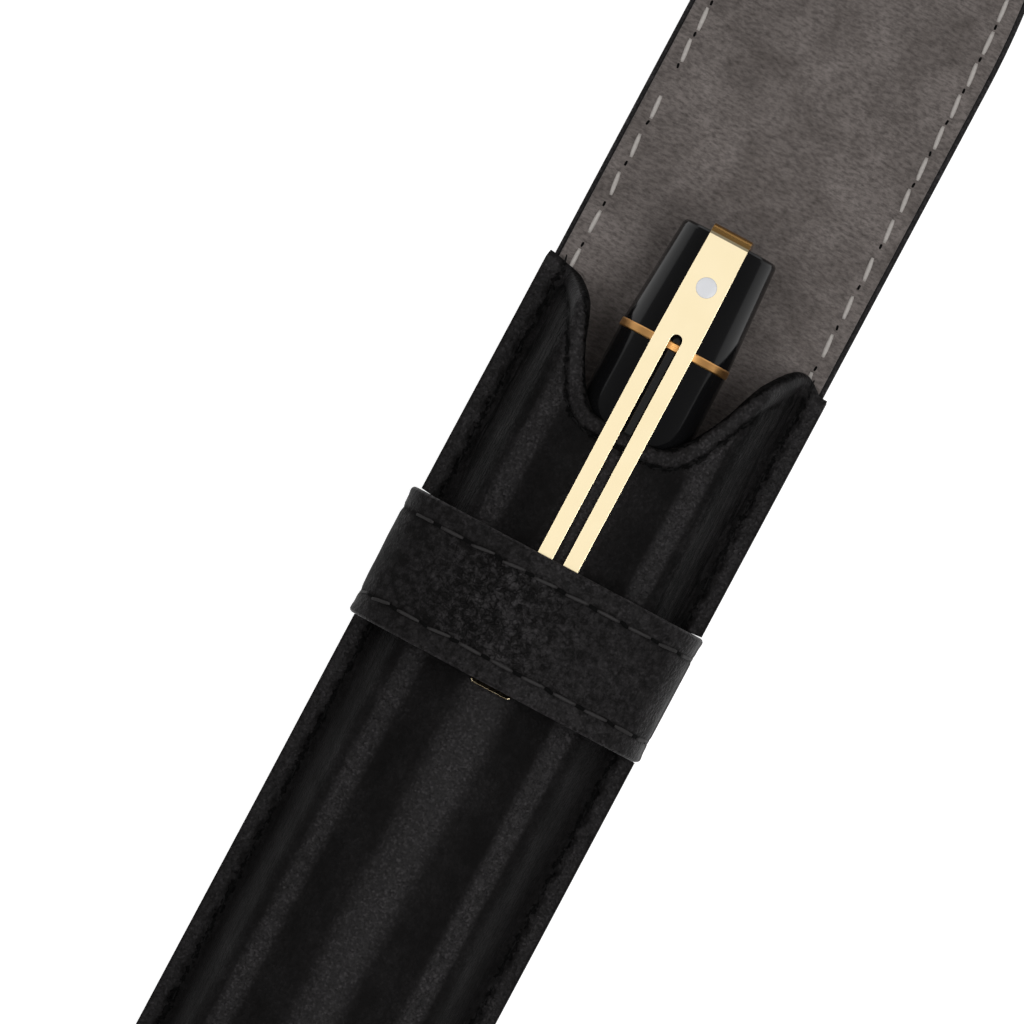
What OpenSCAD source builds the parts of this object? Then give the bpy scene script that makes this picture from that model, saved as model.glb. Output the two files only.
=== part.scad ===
// Single-pen leather sleeve: a moulded pouch, a tuck-in flap, a fixed retaining strap,
// and the fountain pen that it carries.
// Millimetres. +Y runs from the pouch to the flap, +Z up, +X across.
// The origin is on the resting plane, at the middle of the pouch's mouth line.

/* [Leather] */
// Thickness of the outer leather
leather_t = 1.1; // [0.8:0.1:1.4]
// Thickness of the suede lining
lining_t = 0.6; // [0.4:0.1:0.8]
// Thickness of the stiffening board in the pouch's back
board_t = 0.4; // [0.2:0.1:0.6]
// Glue line between two bonded layers
bond = 0.03; // [0.02:0.01:0.05]
// Extra room in the seam where the front panel is laid on the back
seam_bond = 0.08; // [0.06:0.01:0.12]

/* [Pouch] */
// Width of the pouch over its side seams
pouch_w = 36.1; // [36:0.1:40]
// Room between the pen's tail and the pouch's moulded end
tail_room = 1.2; // [1:0.1:4]
// Radius of the pouch's bottom corners
pouch_corner_r = 4; // [2:0.5:5]
// Width of the flat seam at the bottom
bottom_seam = 3; // [2:0.25:3.5]
// Drop of the moulded end, measured along the pouch
end_drop = 6; // [5:0.5:7]
// Depth of the scooped mouth below the mouth line
scoop_depth = 14.3; // [10:0.5:20]
// Half width of the scoop at half its depth
scoop_half_w = 9.05; // [8:0.05:10]
// How squarely the scoop turns up at its sides
scoop_power = 5.8; // [4:0.2:7]
// Height of the mouth's side peaks above the mouth line
mouth_peak = 1.1; // [0:0.1:2]

/* [Moulding] */
// Room between the cap and the front lining
pen_fit = 0.25; // [0.2:0.05:0.5]
// Angle where the ridge over the pen ends
ridge_angle = 48; // [46:1:52]
// Radius of the valley beside the ridge
valley_r = 4; // [3:0.1:4.6]
// Slope of the shoulder beside the valley
shoulder_angle = 6; // [2:1:12]
// Length of the flat of the shoulder
shoulder_flat = 1; // [0.8:0.1:1.4]
// Radius of the shoulder's outer edge
shoulder_r = 2.6; // [2.2:0.1:3]
// Slope of the moulded side wall
wall_angle = 72; // [70:1:80]
// Radius where the wall meets the seam
foot_r = 1.2; // [0.8:0.1:1.6]

/* [Flap] */
// Width of the flap
flap_w = 34.6; // [32:0.1:35.6]
// Distance of the first fold above the mouth line
fold_at = 13; // [12.8:0.1:16]
// Inset of the flap's lining from the leather's edge
lining_inset = 0.75; // [0.4:0.05:1.2]
// Slit left between two leather panels at a fold
fold_slit = 0.1; // [0.05:0.05:0.2]
// Length of the flap's tongue beyond the second fold
tongue_l = 67; // [60:0.5:72]
// Length of the tongue that keeps the flap's full width
tongue_straight = 20; // [15:0.5:24]
// Radius of the tongue's round tip
tongue_tip_r = 8.5; // [6:0.25:8.5]

/* [Strap] */
// Width of the strap, along the pouch
strap_w = 15.9; // [12:0.1:18]
// Distance of the strap's upper edge below the mouth line
strap_at = 30.4; // [28:0.1:32]
// Width of the loop, outside
loop_w = 36.8; // [36:0.1:38]
// Thickness of the strap's leather
strap_leather_t = 0.9; // [0.7:0.1:1.1]
// Thickness of the strap's lining
strap_lining_t = 0.47; // [0.3:0.01:0.6]
// Rise of the loop's arch above its straight sides
arch_rise = 9.2; // [8.8:0.1:10]
// Radius of the arch at its ends
arch_end_r = 8; // [7:0.1:8.4]
// Outside radius of the loop's lower corners
loop_corner_r = 1.6; // [1.5:0.1:1.8]
// Room between the pouch's edge and the inside of the loop
edge_fit = 0.2; // [0.15:0.05:0.4]
// Length of the rise of the pouch's back on to the strap
ramp_l = 26; // [20:1:28]
// Room above and below the tongue when it is tucked in
tuck_fit = 0.3; // [0.3:0.05:0.6]

/* [Pen] */
// Length of the capped pen, over the clip
pen_l = 141; // [136:0.5:141]
// How far the pen stands above the mouth line
pen_out = 11.93; // [10:0.01:12.5]
// Room between the pen and the pouch's back lining
pen_rest = 0.15; // [0.15:0.05:0.3]
// Largest diameter of the cap
cap_d = 13.9; // [13:0.1:14.2]
// Diameter of the cap's flat end
cap_end_d = 11.9; // [11:0.1:12.5]
// Diameter of the cap at its ring
cap_ring_d = 13.5; // [12.8:0.1:13.8]
// Length of the cap, from its flat end to its lip
cap_l = 63; // [60:0.5:66]
// Distance of the ring from the cap's flat end
crown_l = 13.2; // [11:0.1:15]
// Width of the ring
ring_w = 1; // [0.6:0.1:1.6]
// Height of the ring above the cap
ring_proud = 0.12; // [0:0.02:0.15]
// Bore of the cap
cap_bore_d = 11.6; // [11.4:0.1:12]
// Rounding of the cap's flat end
cap_end_r = 0.6; // [0.3:0.1:1]
// Diameter of the barrel below the cap
barrel_d = 13; // [12.4:0.1:13.2]
// Diameter of the barrel at its tail
barrel_tail_d = 9.6; // [9.4:0.1:11]
// Bore of the barrel
barrel_bore_d = 8.8; // [8.6:0.1:9]
// Radial running clearance between a turned pen part and its bore
pen_run = 0.05; // [0.03:0.01:0.08]

/* [Clip] */
// Thickness of the clip's strip
clip_t = 0.9; // [0.7:0.1:1]
// Width of the clip at its head
clip_head_w = 4.8; // [4:0.1:5.2]
// Width of the clip where its slot begins
clip_slot_top_w = 5.2; // [4.6:0.1:5.6]
// Width of the clip at its tip
clip_tip_w = 4.6; // [4:0.1:5]
// Width of the slot at its round top
slot_top_w = 1.4; // [1.2:0.1:1.8]
// Width of the slot at its lower end
slot_end_w = 1.7; // [1.4:0.1:2]
// Distance of the slot's top from the clip's head
slot_at = 13.2; // [12:0.1:16]
// Length of the clip along the pen
clip_l = 58.7; // [52:0.1:60]
// Length of the solid web at the clip's tip
clip_web = 3; // [2:0.25:5]
// Room between the clip and the front panel
clip_fit = 0.2; // [0.15:0.05:0.4]
// How far the clip dips towards its head
clip_dip = 1.5; // [0.5:0.1:1.8]
// Outside radius of the clip's bend over the cap
clip_bend_r = 1.6; // [1.2:0.1:2]
// Diameter of the stud that holds the clip
stud_d = 2; // [1.6:0.1:2.4]

/* [Nib unit] */
// Length of the nib outside the grip section
nib_l = 21; // [18:0.5:22]
// Outside diameter of the nib's shank
nib_d = 7; // [6.6:0.1:7]
// Thickness of the nib
nib_t = 0.45; // [0.35:0.05:0.5]
// Length of the grip section
section_l = 22; // [20:0.5:24]
// Diameter of the grip section's waist
section_waist_d = 9; // [8.8:0.1:9.6]
// Diameter of the grip section's lip
section_lip_d = 9.8; // [9.6:0.1:10.4]
// Number of slots in the feed's comb
comb_slots = 9; // [6:1:10]
// Length of the converter
converter_l = 58; // [50:0.5:60]
// Diameter of the converter
converter_d = 6.9; // [6.4:0.1:7]

/* [Hidden] */
$fn = 64;

black_leather = "#232222";
grey_suede = "#5a5351";
pale_board = "#8d8172";
black_resin = "#0c0c0e";
gold = "#d9b46a";
steel = "#b9bcc0";
clear_resin = "#c9d3d8";

eps = 0.5; // overshoot of a cutting shape

// layers, from the resting plane up
flap_top_z = leather_t + bond + lining_t;
board_z = leather_t + bond;
board_rise = board_t + bond;
back_top_z = flap_top_z + board_rise;
front_t = leather_t + bond + lining_t;
seam_top_z = back_top_z + seam_bond + front_t;
roll_r = front_t / 2;
roll_bond = 2 * bond; // the roll is glued over the cut edge

// strap and the hump that the pouch's back makes over it
strap_t = strap_leather_t + bond + strap_lining_t;
strap_hi = -strap_at;
strap_lo = strap_hi - strap_w;
hump = strap_t + bond;
loop_in_w = loop_w - 2 * strap_t;
waist_w = loop_in_w - 2 * edge_fit;
waist_run = 0.5; // the notch for the strap runs out over this length
waist_slack = 0.1; // and starts this far outside the strap

// pen
cap_r = cap_d / 2;
pen_z = hump + back_top_z + pen_rest + cap_r;
clip_head_y = pen_out;
cap_end_y = clip_head_y - clip_t - bond;
ring_y = cap_end_y - crown_l;
cap_lip_y = cap_end_y - cap_l;
tail_y = clip_head_y - pen_l;

// the pouch is as long as the pen in it needs
pouch_l = -tail_y + tail_room + front_t + end_drop + bottom_seam;

// front panel's profile: it is built outwards from the ridge over the pen
ridge_r = cap_r + pen_fit + front_t;
ridge_z = pen_z + ridge_r;
drop_start_y = -pouch_l + bottom_seam + end_drop;

// clip
clip_under_z = ridge_z + clip_fit;
clip_top_z = clip_under_z + clip_t;
clip_tip_y = clip_head_y - clip_l;

// flap
bridge_l = clip_top_z + tuck_fit - flap_top_z;
fold_b = fold_at + bridge_l;
flap_end = fold_b + tongue_l;
board_end = fold_at - 3;
board_inset = 0.6;

// loop: its crown clears the tucked tongue at the tongue's edges
loop_r = loop_w / 2;
taper_y = fold_b + tongue_straight;
taper_run = flap_end - tongue_tip_r - taper_y;
taper_angle = atan2(flap_w / 2, taper_run) - asin(tongue_tip_r / norm([flap_w / 2, taper_run]));
tucked_y = fold_b + fold_at + strap_at; // where the tongue meets the strap when it is tucked in
tuck_half_w = flap_w / 2 - (tucked_y - taper_y) * tan(taper_angle);
tuck_top_z = clip_top_z + tuck_fit + flap_top_z;
loop_in_r = loop_r - strap_t;
end_in_r = arch_end_r - strap_t;
rise_in = arch_rise - strap_t;
crown_in_r = arch_crown_r(loop_in_r, rise_in, end_in_r);
loop_drop = arch_drop(tuck_half_w, loop_in_r, end_in_r, crown_in_r);
loop_top_z = tuck_top_z + tuck_fit + loop_drop + strap_t;
spring_z = loop_top_z - arch_rise;

// nib unit
section_front_y = cap_end_y - 11 - nib_l;
section_rear_y = section_front_y - section_l;
section_bore_r = nib_d / 2 + pen_run;
nipple_l = 8;
nipple_r = barrel_bore_d / 2 - pen_run;
collar_r = cap_bore_d / 2 - 0.25;
feed_r = nib_d / 2 - nib_t - pen_run;
feed_short = 5; // how far the feed's nose stays behind the nib's tip
nib_taper = 1.3; // how far the nib's crown comes down towards its tip
slit_w = 0.12;
seal_gap = 0.1;
crown_wall = 6;
inner_cap_wall = 1.4;
stud_head_r = 0.85 * stud_d;
stud_sink = 0.6;
clip_root = 3; // how far the clip's root reaches below the pen's axis
converter_wall = 0.6;
rod_r = 0.8;
knob_l = 7;
converter_front_y = section_rear_y - 2;
converter_rear_y = converter_front_y - converter_l;

// ---- helpers -------------------------------------------------------------------

function smooth(t) = let (c = min(max(t, 0), 1)) (1 - cos(180 * c)) / 2;

// rise of the back over the strap, at a place along the pouch
function hump_z(y) =
    y > strap_hi ? hump * smooth((strap_hi + ramp_l - y) / ramp_l)
    : y < strap_lo ? hump * smooth((y - strap_lo + ramp_l) / ramp_l)
    : hump;

// step down of the lining where the board ends
function board_step(y) = board_rise * min(max((fold_at - fold_slit - y) / (fold_at - board_end - fold_slit), 0), 1);

// crown radius of a three-centred arch
function arch_crown_r(half, rise, end_r) =
    (pow(half - end_r, 2) + pow(rise, 2) - pow(end_r, 2)) / (2 * (rise - end_r));

// how far a three-centred arch has come down from its crown, at a place across it
function arch_drop(x, half, end_r, crown) =
    let (turn = asin((half - end_r) / (crown - end_r)))
    x <= crown * sin(turn) ? crown - sqrt(pow(crown, 2) - pow(x, 2))
    : crown - (crown - end_r) * cos(turn) - sqrt(pow(end_r, 2) - pow(min(x - half + end_r, end_r), 2));

function arc(cx, cz, r, a0, a1, n) = [
    for (i = [0 : n]) let (a = a0 + (a1 - a0) * i / n) [cx + r * sin(a), cz + r * cos(a)]
];

// half of the loop's section, from the crown to the middle of the bottom
function loop_half(half, rise, end_r, top, bottom, corner) =
    let (
        crown = arch_crown_r(half, rise, end_r),
        turn = asin((half - end_r) / (crown - end_r))
    )
    concat(
        arc(0, top - crown, crown, 0, turn, 6),
        arc(half - end_r, top - rise, end_r, turn, 90, 8),
        arc(half - corner, bottom + corner, corner, 90, 180, 3)
    );

function loop_outline(inset) =
    let (
        half = loop_half(
            loop_r - inset, arch_rise - inset, arch_end_r - inset,
            loop_top_z - inset, inset, loop_corner_r - inset
        )
    )
    concat(half, [for (i = [len(half) - 1 : -1 : 1]) [-half[i][0], half[i][1]]]);

module along_y() {
    rotate([90, 0, 0]) children();
}

// a closed band in the XZ plane, drawn from y0 down to y1
module loop_band(y0, y1, outer_inset, inner_inset) {
    translate([0, y0, 0])
        along_y()
            linear_extrude(y0 - y1)
                difference() {
                    polygon(loop_outline(outer_inset));
                    polygon(loop_outline(inner_inset));
                }
}

// a sheet that follows the hump, between two heights above it
module humped_sheet(y0, y1, low, high, with_board_step) {
    steps = 8;
    ys = concat(
        [y0],
        [for (i = [0 : steps]) strap_lo - ramp_l + ramp_l * i / steps],
        [for (i = [0 : steps]) strap_hi + ramp_l * i / steps],
        y1 > board_end ? [board_end, y1] : [y1]
    );
    function level(y, h) = h + hump_z(y) - (with_board_step ? board_rise - board_step(y) : 0);
    points = concat(
        [for (y = ys) [y, level(y, low)]],
        [for (i = [len(ys) - 1 : -1 : 0]) [ys[i], level(ys[i], high)]]
    );
    translate([-pouch_w, 0, 0])
        rotate([90, 0, 90])
            linear_extrude(2 * pouch_w)
                polygon(points);
}

// plan of the pouch's back with its neck: inset_pouch trims the pouch, inset_neck the neck
module back_plan(inset_pouch, inset_neck, end_y) {
    half = pouch_w / 2 - inset_pouch;
    corner = pouch_corner_r - min(inset_pouch, pouch_corner_r - 0.5);
    low = -pouch_l + inset_pouch;
    waist = waist_w / 2 - inset_pouch;
    difference() {
        union() {
            translate([-half, low + corner]) square([2 * half, -low - corner]);
            translate([-half + corner, low]) square([2 * (half - corner), corner + eps]);
            for (side = [-1, 1])
                translate([side * (half - corner), low + corner]) circle(corner);
            translate([-flap_w / 2 + inset_neck, -eps])
                square([flap_w - 2 * inset_neck, end_y + eps]);
        }
        for (side = [-1, 1])
            polygon([
                [side * (half + eps), strap_hi + waist_run],
                [side * half, strap_hi + waist_run],
                [side * waist, strap_hi + waist_slack],
                [side * waist, strap_lo - waist_slack],
                [side * half, strap_lo - waist_run],
                [side * (half + eps), strap_lo - waist_run]
            ]);
    }
}

module plan_prism() {
    translate([0, 0, -eps]) linear_extrude(loop_top_z) children();
}

// ---- the moulded front panel ---------------------------------------------------

// Half profile in the strap's zone, from the ridge to the edge: [across, height, normal x, normal z]
function half_profile() =
    let (
        ridge_cz = ridge_z - ridge_r,
        x1 = ridge_r * sin(ridge_angle),
        z1 = ridge_cz + ridge_r * cos(ridge_angle),
        vx = x1 + valley_r * sin(ridge_angle),
        vz = z1 + valley_r * cos(ridge_angle),
        x2 = vx - valley_r * sin(shoulder_angle),
        z2 = vz - valley_r * cos(shoulder_angle),
        x3 = x2 + shoulder_flat * cos(shoulder_angle),
        z3 = z2 - shoulder_flat * sin(shoulder_angle),
        sx = x3 - shoulder_r * sin(shoulder_angle),
        sz = z3 - shoulder_r * cos(shoulder_angle),
        x4 = sx + shoulder_r * sin(wall_angle),
        z4 = sz + shoulder_r * cos(wall_angle),
        wall_l = (z4 - seam_top_z - hump - foot_r * (1 - cos(wall_angle))) / sin(wall_angle),
        x5 = x4 + wall_l * cos(wall_angle),
        fx = x5 + foot_r * sin(wall_angle),
        fz = seam_top_z + hump + foot_r,
        edge = pouch_w / 2
    )
    concat(
        [for (i = [0 : 5]) let (a = ridge_angle * i / 5)
            [ridge_r * sin(a), ridge_cz + ridge_r * cos(a), sin(a), cos(a)]],
        [for (i = [1 : 3]) let (a = ridge_angle + (shoulder_angle - ridge_angle) * i / 3)
            [vx - valley_r * sin(a), vz - valley_r * cos(a), sin(a), cos(a)]],
        [for (i = [0 : 5]) let (a = shoulder_angle + (wall_angle - shoulder_angle) * i / 5)
            [sx + shoulder_r * sin(a), sz + shoulder_r * cos(a), sin(a), cos(a)]],
        [for (i = [0 : 3]) let (a = wall_angle * (1 - i / 3))
            [fx - foot_r * sin(a), fz - foot_r * cos(a), sin(a), cos(a)]],
        [[edge, seam_top_z + hump, 0, 1]]
    );

half = half_profile();
foot_x = half[len(half) - 2][0];
profile = concat(
    [for (i = [len(half) - 1 : -1 : 1]) [-half[i][0], half[i][1], -half[i][2], half[i][3]]],
    half
);

// sheet edge of the scooped mouth, behind its rolled rim
function mouth_y(u) =
    mouth_peak - roll_r
    - (scoop_depth + mouth_peak) / (1 + pow(abs(u) / (scoop_half_w + roll_r), scoop_power));

function bottom_y(u) =
    let (over = max(abs(u) - (pouch_w / 2 - pouch_corner_r), 0))
    -pouch_l + pouch_corner_r - sqrt(max(pow(pouch_corner_r, 2) - pow(over, 2), 0));

// how much of the moulded height is left, towards the closed end
function mould_left(y) =
    let (t = min(max((drop_start_y - y) / end_drop, 0), 1)) 1 - t * t * (3 - 2 * t);

// the seam's margins draw in where the strap passes
function waist_at(y) =
    y > strap_hi + waist_run || y < strap_lo - waist_run ? 0
    : y > strap_hi + waist_slack ? (strap_hi + waist_run - y) / (waist_run - waist_slack)
    : y < strap_lo - waist_slack ? (y - strap_lo + waist_run) / (waist_run - waist_slack)
    : 1;

upper_y = strap_hi + waist_run;
lower_y = -pouch_l + bottom_seam + end_drop + 8;
function spread(a, b, n) = [for (i = [1 : n]) a + (b - a) * i / n];
stations = concat(
    [0], spread(0, upper_y, 6),
    [strap_hi + waist_slack, (strap_hi + strap_lo) / 2, strap_lo - waist_slack, strap_lo - waist_run],
    spread(strap_lo - waist_run, strap_lo - ramp_l, 4),
    spread(strap_lo - ramp_l, lower_y, 2),
    spread(lower_y, drop_start_y + 2, 1),
    spread(drop_start_y + 2, -pouch_l + bottom_seam, 8),
    [-pouch_l]
);

// place along the pouch of a station, on the column at u
function station_y(u, s) =
    s > upper_y ? mouth_y(u) + (upper_y - mouth_y(u)) * s / upper_y
    : s < lower_y ? lower_y + (s - lower_y) * (bottom_y(u) - lower_y) / (-pouch_l - lower_y)
    : s;

// A point of the panel, depth below its outer surface. The ridge stays level over the rigid pen,
// while the seams follow the hump, so the height above the seam is stretched to fit.
function panel_point(p, s, depth) =
    let (
        y = station_y(p[0], s),
        left = mould_left(y - depth),
        low = seam_top_z + hump_z(y),
        tall = p[1] - seam_top_z - hump,
        stretch = (ridge_z - low) / (ridge_z - seam_top_z - hump),
        n = norm([p[2] * left, p[3]]),
        u = p[0] - depth * p[2] * left / n,
        z = low + left * tall * stretch - depth * p[3] / n,
        spare = max(abs(u) - foot_x, 0) / (pouch_w / 2 - foot_x),
        draw_in = waist_at(y) * spare * (pouch_w - waist_w) / 2
    )
    [u - sign(u) * draw_in, y, z];

module panel(outer_depth, inner_depth) {
    n = len(profile);
    m = len(stations);
    ring = 2 * n;
    last = (m - 1) * ring;
    points = [
        for (j = [0 : m - 1]) each concat(
            [for (i = [0 : n - 1]) panel_point(profile[i], stations[j], outer_depth)],
            [for (i = [n - 1 : -1 : 0]) panel_point(profile[i], stations[j], inner_depth)]
        )
    ];
    faces = concat(
        [for (i = [0 : n - 2]) each [
            [i, i + 1, ring - 1 - i],
            [i + 1, ring - 2 - i, ring - 1 - i],
            [last + i, last + ring - 1 - i, last + i + 1],
            [last + i + 1, last + ring - 1 - i, last + ring - 2 - i]
        ]],
        [for (j = [0 : m - 2]) for (i = [0 : ring - 1])
            let (a = j * ring + i, b = j * ring + (i + 1) % ring)
            each (i < n ? [[a, a + ring, b + ring], [a, b + ring, b]]
                : [[a, a + ring, b], [a + ring, b + ring, b]])]
    );
    polyhedron(points, faces, convexity = 8);
}

// ---- pouch ---------------------------------------------------------------------

module back_leather() {
    color(black_leather)
        intersection() {
            humped_sheet(-pouch_l - eps, fold_at + eps, 0, leather_t, false);
            plan_prism() back_plan(0, 0, fold_at - fold_slit / 2);
        }
}

module back_board() {
    color(pale_board)
        intersection() {
            humped_sheet(-pouch_l - eps, board_end, board_z, board_z + board_t, false);
            plan_prism() back_plan(board_inset, board_inset, board_end);
        }
}

module back_lining() {
    color(grey_suede)
        intersection() {
            humped_sheet(-pouch_l - eps, fold_at, back_top_z - lining_t, back_top_z, true);
            plan_prism() back_plan(0, lining_inset, fold_at - fold_slit / 2);
        }
}

module front_leather() {
    color(black_leather) panel(0, leather_t);
}

module front_lining() {
    color(grey_suede) panel(leather_t + bond, front_t);
}

// half-round turned edge that closes the mouth of the front panel
module mouth_roll() {
    n = len(profile);
    turns = 6;
    function mid(i) = panel_point(profile[i], 0, front_t / 2);
    function outward(i) =
        let (d = panel_point(profile[i], 0, 0) - panel_point(profile[i], 0, front_t)) d / norm(d);
    function ahead(i) =
        let (d = cross(outward(i), mid(min(i + 1, n - 1)) - mid(max(i - 1, 0)))) d / norm(d);
    points = [
        for (i = [0 : n - 1]) for (k = [0 : turns])
            let (a = 180 * k / turns)
            mid(i) + ahead(i) * (roll_bond + roll_r * sin(a)) + outward(i) * roll_r * cos(a)
    ];
    ring = turns + 1;
    faces = concat(
        [[for (k = [0 : turns]) k]],
        [[for (k = [turns : -1 : 0]) (n - 1) * ring + k]],
        [for (i = [0 : n - 2]) for (k = [0 : turns]) each [
            [i * ring + k, (i + 1) * ring + k, (i + 1) * ring + (k + 1) % ring],
            [i * ring + k, (i + 1) * ring + (k + 1) % ring, i * ring + (k + 1) % ring]
        ]]
    );
    color(black_leather) polyhedron(points, faces, convexity = 6);
}

// ---- strap ---------------------------------------------------------------------

module strap_leather() {
    color(black_leather) loop_band(strap_hi, strap_lo, 0, strap_leather_t);
}

module strap_lining() {
    color(black_leather) loop_band(strap_hi, strap_lo, strap_leather_t + bond, strap_t);
}

// ---- flap ----------------------------------------------------------------------

module bridge_panel(low, thick, inset) {
    translate([-flap_w / 2 + inset, fold_at + fold_slit / 2, low])
        cube([flap_w - 2 * inset, bridge_l - fold_slit, thick]);
}

// plan of the tongue: full width, an eased corner, a straight taper and a round tip
module tongue_plan(inset) {
    start = fold_b + fold_slit / 2;
    side_x = flap_w / 2 - inset;
    tip_r = tongue_tip_r - inset;
    ease = tongue_straight * 0.6;
    steps = 6;
    taper = [-sin(taper_angle), cos(taper_angle)];
    corner = [side_x, taper_y - inset * tan(taper_angle / 2)];
    eased = [
        for (i = [0 : steps])
            let (t = i / steps)
            corner + [0, -ease] * pow(1 - t, 2) + taper * ease * pow(t, 2)
    ];
    touch = [tip_r * cos(taper_angle), flap_end - tongue_tip_r + tip_r * sin(taper_angle)];
    side = concat([[side_x, start]], eased, [touch]);
    polygon(concat(side, [for (i = [len(side) - 1 : -1 : 0]) [-side[i][0], side[i][1]]]));
    translate([0, flap_end - tongue_tip_r]) circle(tip_r);
}

module bridge_leather() {
    color(black_leather) bridge_panel(0, leather_t, 0);
}

module bridge_lining() {
    color(grey_suede) bridge_panel(leather_t + bond, lining_t, lining_inset);
}

module tongue_leather() {
    color(black_leather) linear_extrude(leather_t) tongue_plan(0);
}

module tongue_lining() {
    color(grey_suede)
        translate([0, 0, leather_t + bond])
            linear_extrude(lining_t) tongue_plan(lining_inset);
}

// ---- pen -----------------------------------------------------------------------

// a turned piece on the pen's axis: points are [radius, place along Y]
module turned(points) {
    translate([0, 0, pen_z])
        rotate([-90, 0, 0])
            rotate_extrude() polygon(points);
}

function cap_radius(y) =
    y > ring_y ? cap_end_d / 2 + (cap_ring_d - cap_end_d) / 2 * (cap_end_y - y) / crown_l
    : cap_ring_d / 2 + (cap_d - cap_ring_d) / 2 * smooth((ring_y - y) / (cap_l / 3));

module cap_crown() {
    end_r = cap_end_d / 2;
    color(black_resin)
        turned(concat(
            [[stud_d / 2 + pen_run, cap_end_y], [end_r - cap_end_r, cap_end_y]],
            [for (a = [30 : 30 : 90])
                [end_r - cap_end_r * (1 - sin(a)), cap_end_y - cap_end_r * (1 - cos(a))]],
            [
                [cap_ring_d / 2, ring_y],
                [cap_bore_d / 2, ring_y],
                [cap_bore_d / 2, cap_end_y - crown_wall],
                [stud_d / 2 + pen_run, cap_end_y - crown_wall]
            ]
        ));
}

module cap_ring() {
    top = ring_y - bond;
    ring_out = cap_ring_d / 2 + ring_proud;
    bevel = min(ring_proud, ring_w / 4);
    color(gold)
        turned([
            [cap_bore_d / 2, top],
            [ring_out - bevel, top],
            [ring_out, top - bevel],
            [ring_out, top - ring_w + bevel],
            [ring_out - bevel, top - ring_w],
            [cap_bore_d / 2, top - ring_w]
        ]);
}

module cap_tube() {
    top = ring_y - ring_w - 2 * bond;
    lip_round = 0.4;
    steps = 6;
    color(black_resin)
        turned(concat(
            [[cap_bore_d / 2, top]],
            [for (i = [0 : steps]) let (y = top - (cap_l / 3) * i / steps) [cap_radius(y), y]],
            [
                [cap_r, cap_lip_y + lip_round],
                [cap_r - lip_round, cap_lip_y],
                [cap_bore_d / 2, cap_lip_y]
            ]
        ));
}

module inner_cap() {
    out = cap_bore_d / 2 - bond;
    top = cap_end_y - crown_wall - bond;
    color(black_resin)
        turned([
            [stud_d / 2 + pen_run, top],
            [out, top],
            [out, section_front_y + seal_gap],
            [out - inner_cap_wall, section_front_y + seal_gap],
            [out - inner_cap_wall, top - inner_cap_wall],
            [stud_d / 2 + pen_run, top - inner_cap_wall]
        ]);
}

// top line of the clip's arm: level over the pouch, and dipping towards its head
function clip_line(y) =
    let (t = max((y + scoop_depth) / (clip_head_y + scoop_depth), 0)) clip_top_z - clip_dip * t * t;

module clip_side() {
    inner_r = clip_bend_r - clip_t;
    head_top = clip_line(clip_head_y - clip_bend_r);
    bend_y = clip_head_y - clip_bend_r;
    bend_z = head_top - clip_bend_r;
    steps = 8;
    arm = [for (i = [0 : steps]) bend_y + (clip_tip_y - bend_y) * i / steps];
    polygon(concat(
        [[clip_head_y, pen_z - clip_root]],
        [for (a = [0 : 15 : 90]) [bend_y + clip_bend_r * cos(a), bend_z + clip_bend_r * sin(a)]],
        [for (y = arm) [y, clip_line(y)]],
        [for (i = [steps : -1 : 0]) [arm[i], clip_line(arm[i]) - clip_t]],
        [for (a = [90 : -15 : 0]) [bend_y + inner_r * cos(a), bend_z + inner_r * sin(a)]],
        [[clip_head_y - clip_t, pen_z - clip_root]]
    ));
}

module clip_plan() {
    slot_y = clip_head_y - slot_at;
    corner = 0.8;
    tip = [
        for (a = [0 : 22.5 : 90])
            [clip_tip_w / 2 - corner * (1 - cos(a)), clip_tip_y + corner * (1 - sin(a))]
    ];
    side = concat(
        [[clip_head_w / 2, clip_head_y + eps], [clip_slot_top_w / 2, slot_y]],
        tip
    );
    difference() {
        polygon(concat(side, [for (i = [len(side) - 1 : -1 : 0]) [-side[i][0], side[i][1]]]));
        translate([0, slot_y - slot_top_w / 2]) circle(slot_top_w / 2);
        polygon([
            [-slot_top_w / 2, slot_y - slot_top_w / 2],
            [slot_top_w / 2, slot_y - slot_top_w / 2],
            [slot_end_w / 2, clip_tip_y + clip_web],
            [-slot_end_w / 2, clip_tip_y + clip_web]
        ]);
    }
}

module clip() {
    color(gold)
        difference() {
            intersection() {
                translate([-clip_slot_top_w, 0, 0])
                    rotate([90, 0, 90])
                        linear_extrude(2 * clip_slot_top_w) clip_side();
                linear_extrude(clip_top_z + eps) clip_plan();
            }
            turned([
                [0, clip_head_y + eps],
                [stud_head_r + pen_run + eps, clip_head_y + eps],
                [stud_d / 2 + pen_run, clip_head_y - stud_sink],
                [stud_d / 2 + pen_run, cap_end_y - eps],
                [0, cap_end_y - eps]
            ]);
        }
}

module clip_stud() {
    color(gold)
        turned([
            [0, clip_head_y - 2 * bond],
            [stud_head_r - 2 * bond, clip_head_y - 2 * bond],
            [stud_d / 2, clip_head_y - stud_sink - bond],
            [stud_d / 2, cap_end_y - crown_wall - bond - inner_cap_wall / 2],
            [0, cap_end_y - crown_wall - bond - inner_cap_wall / 2]
        ]);
}

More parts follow.
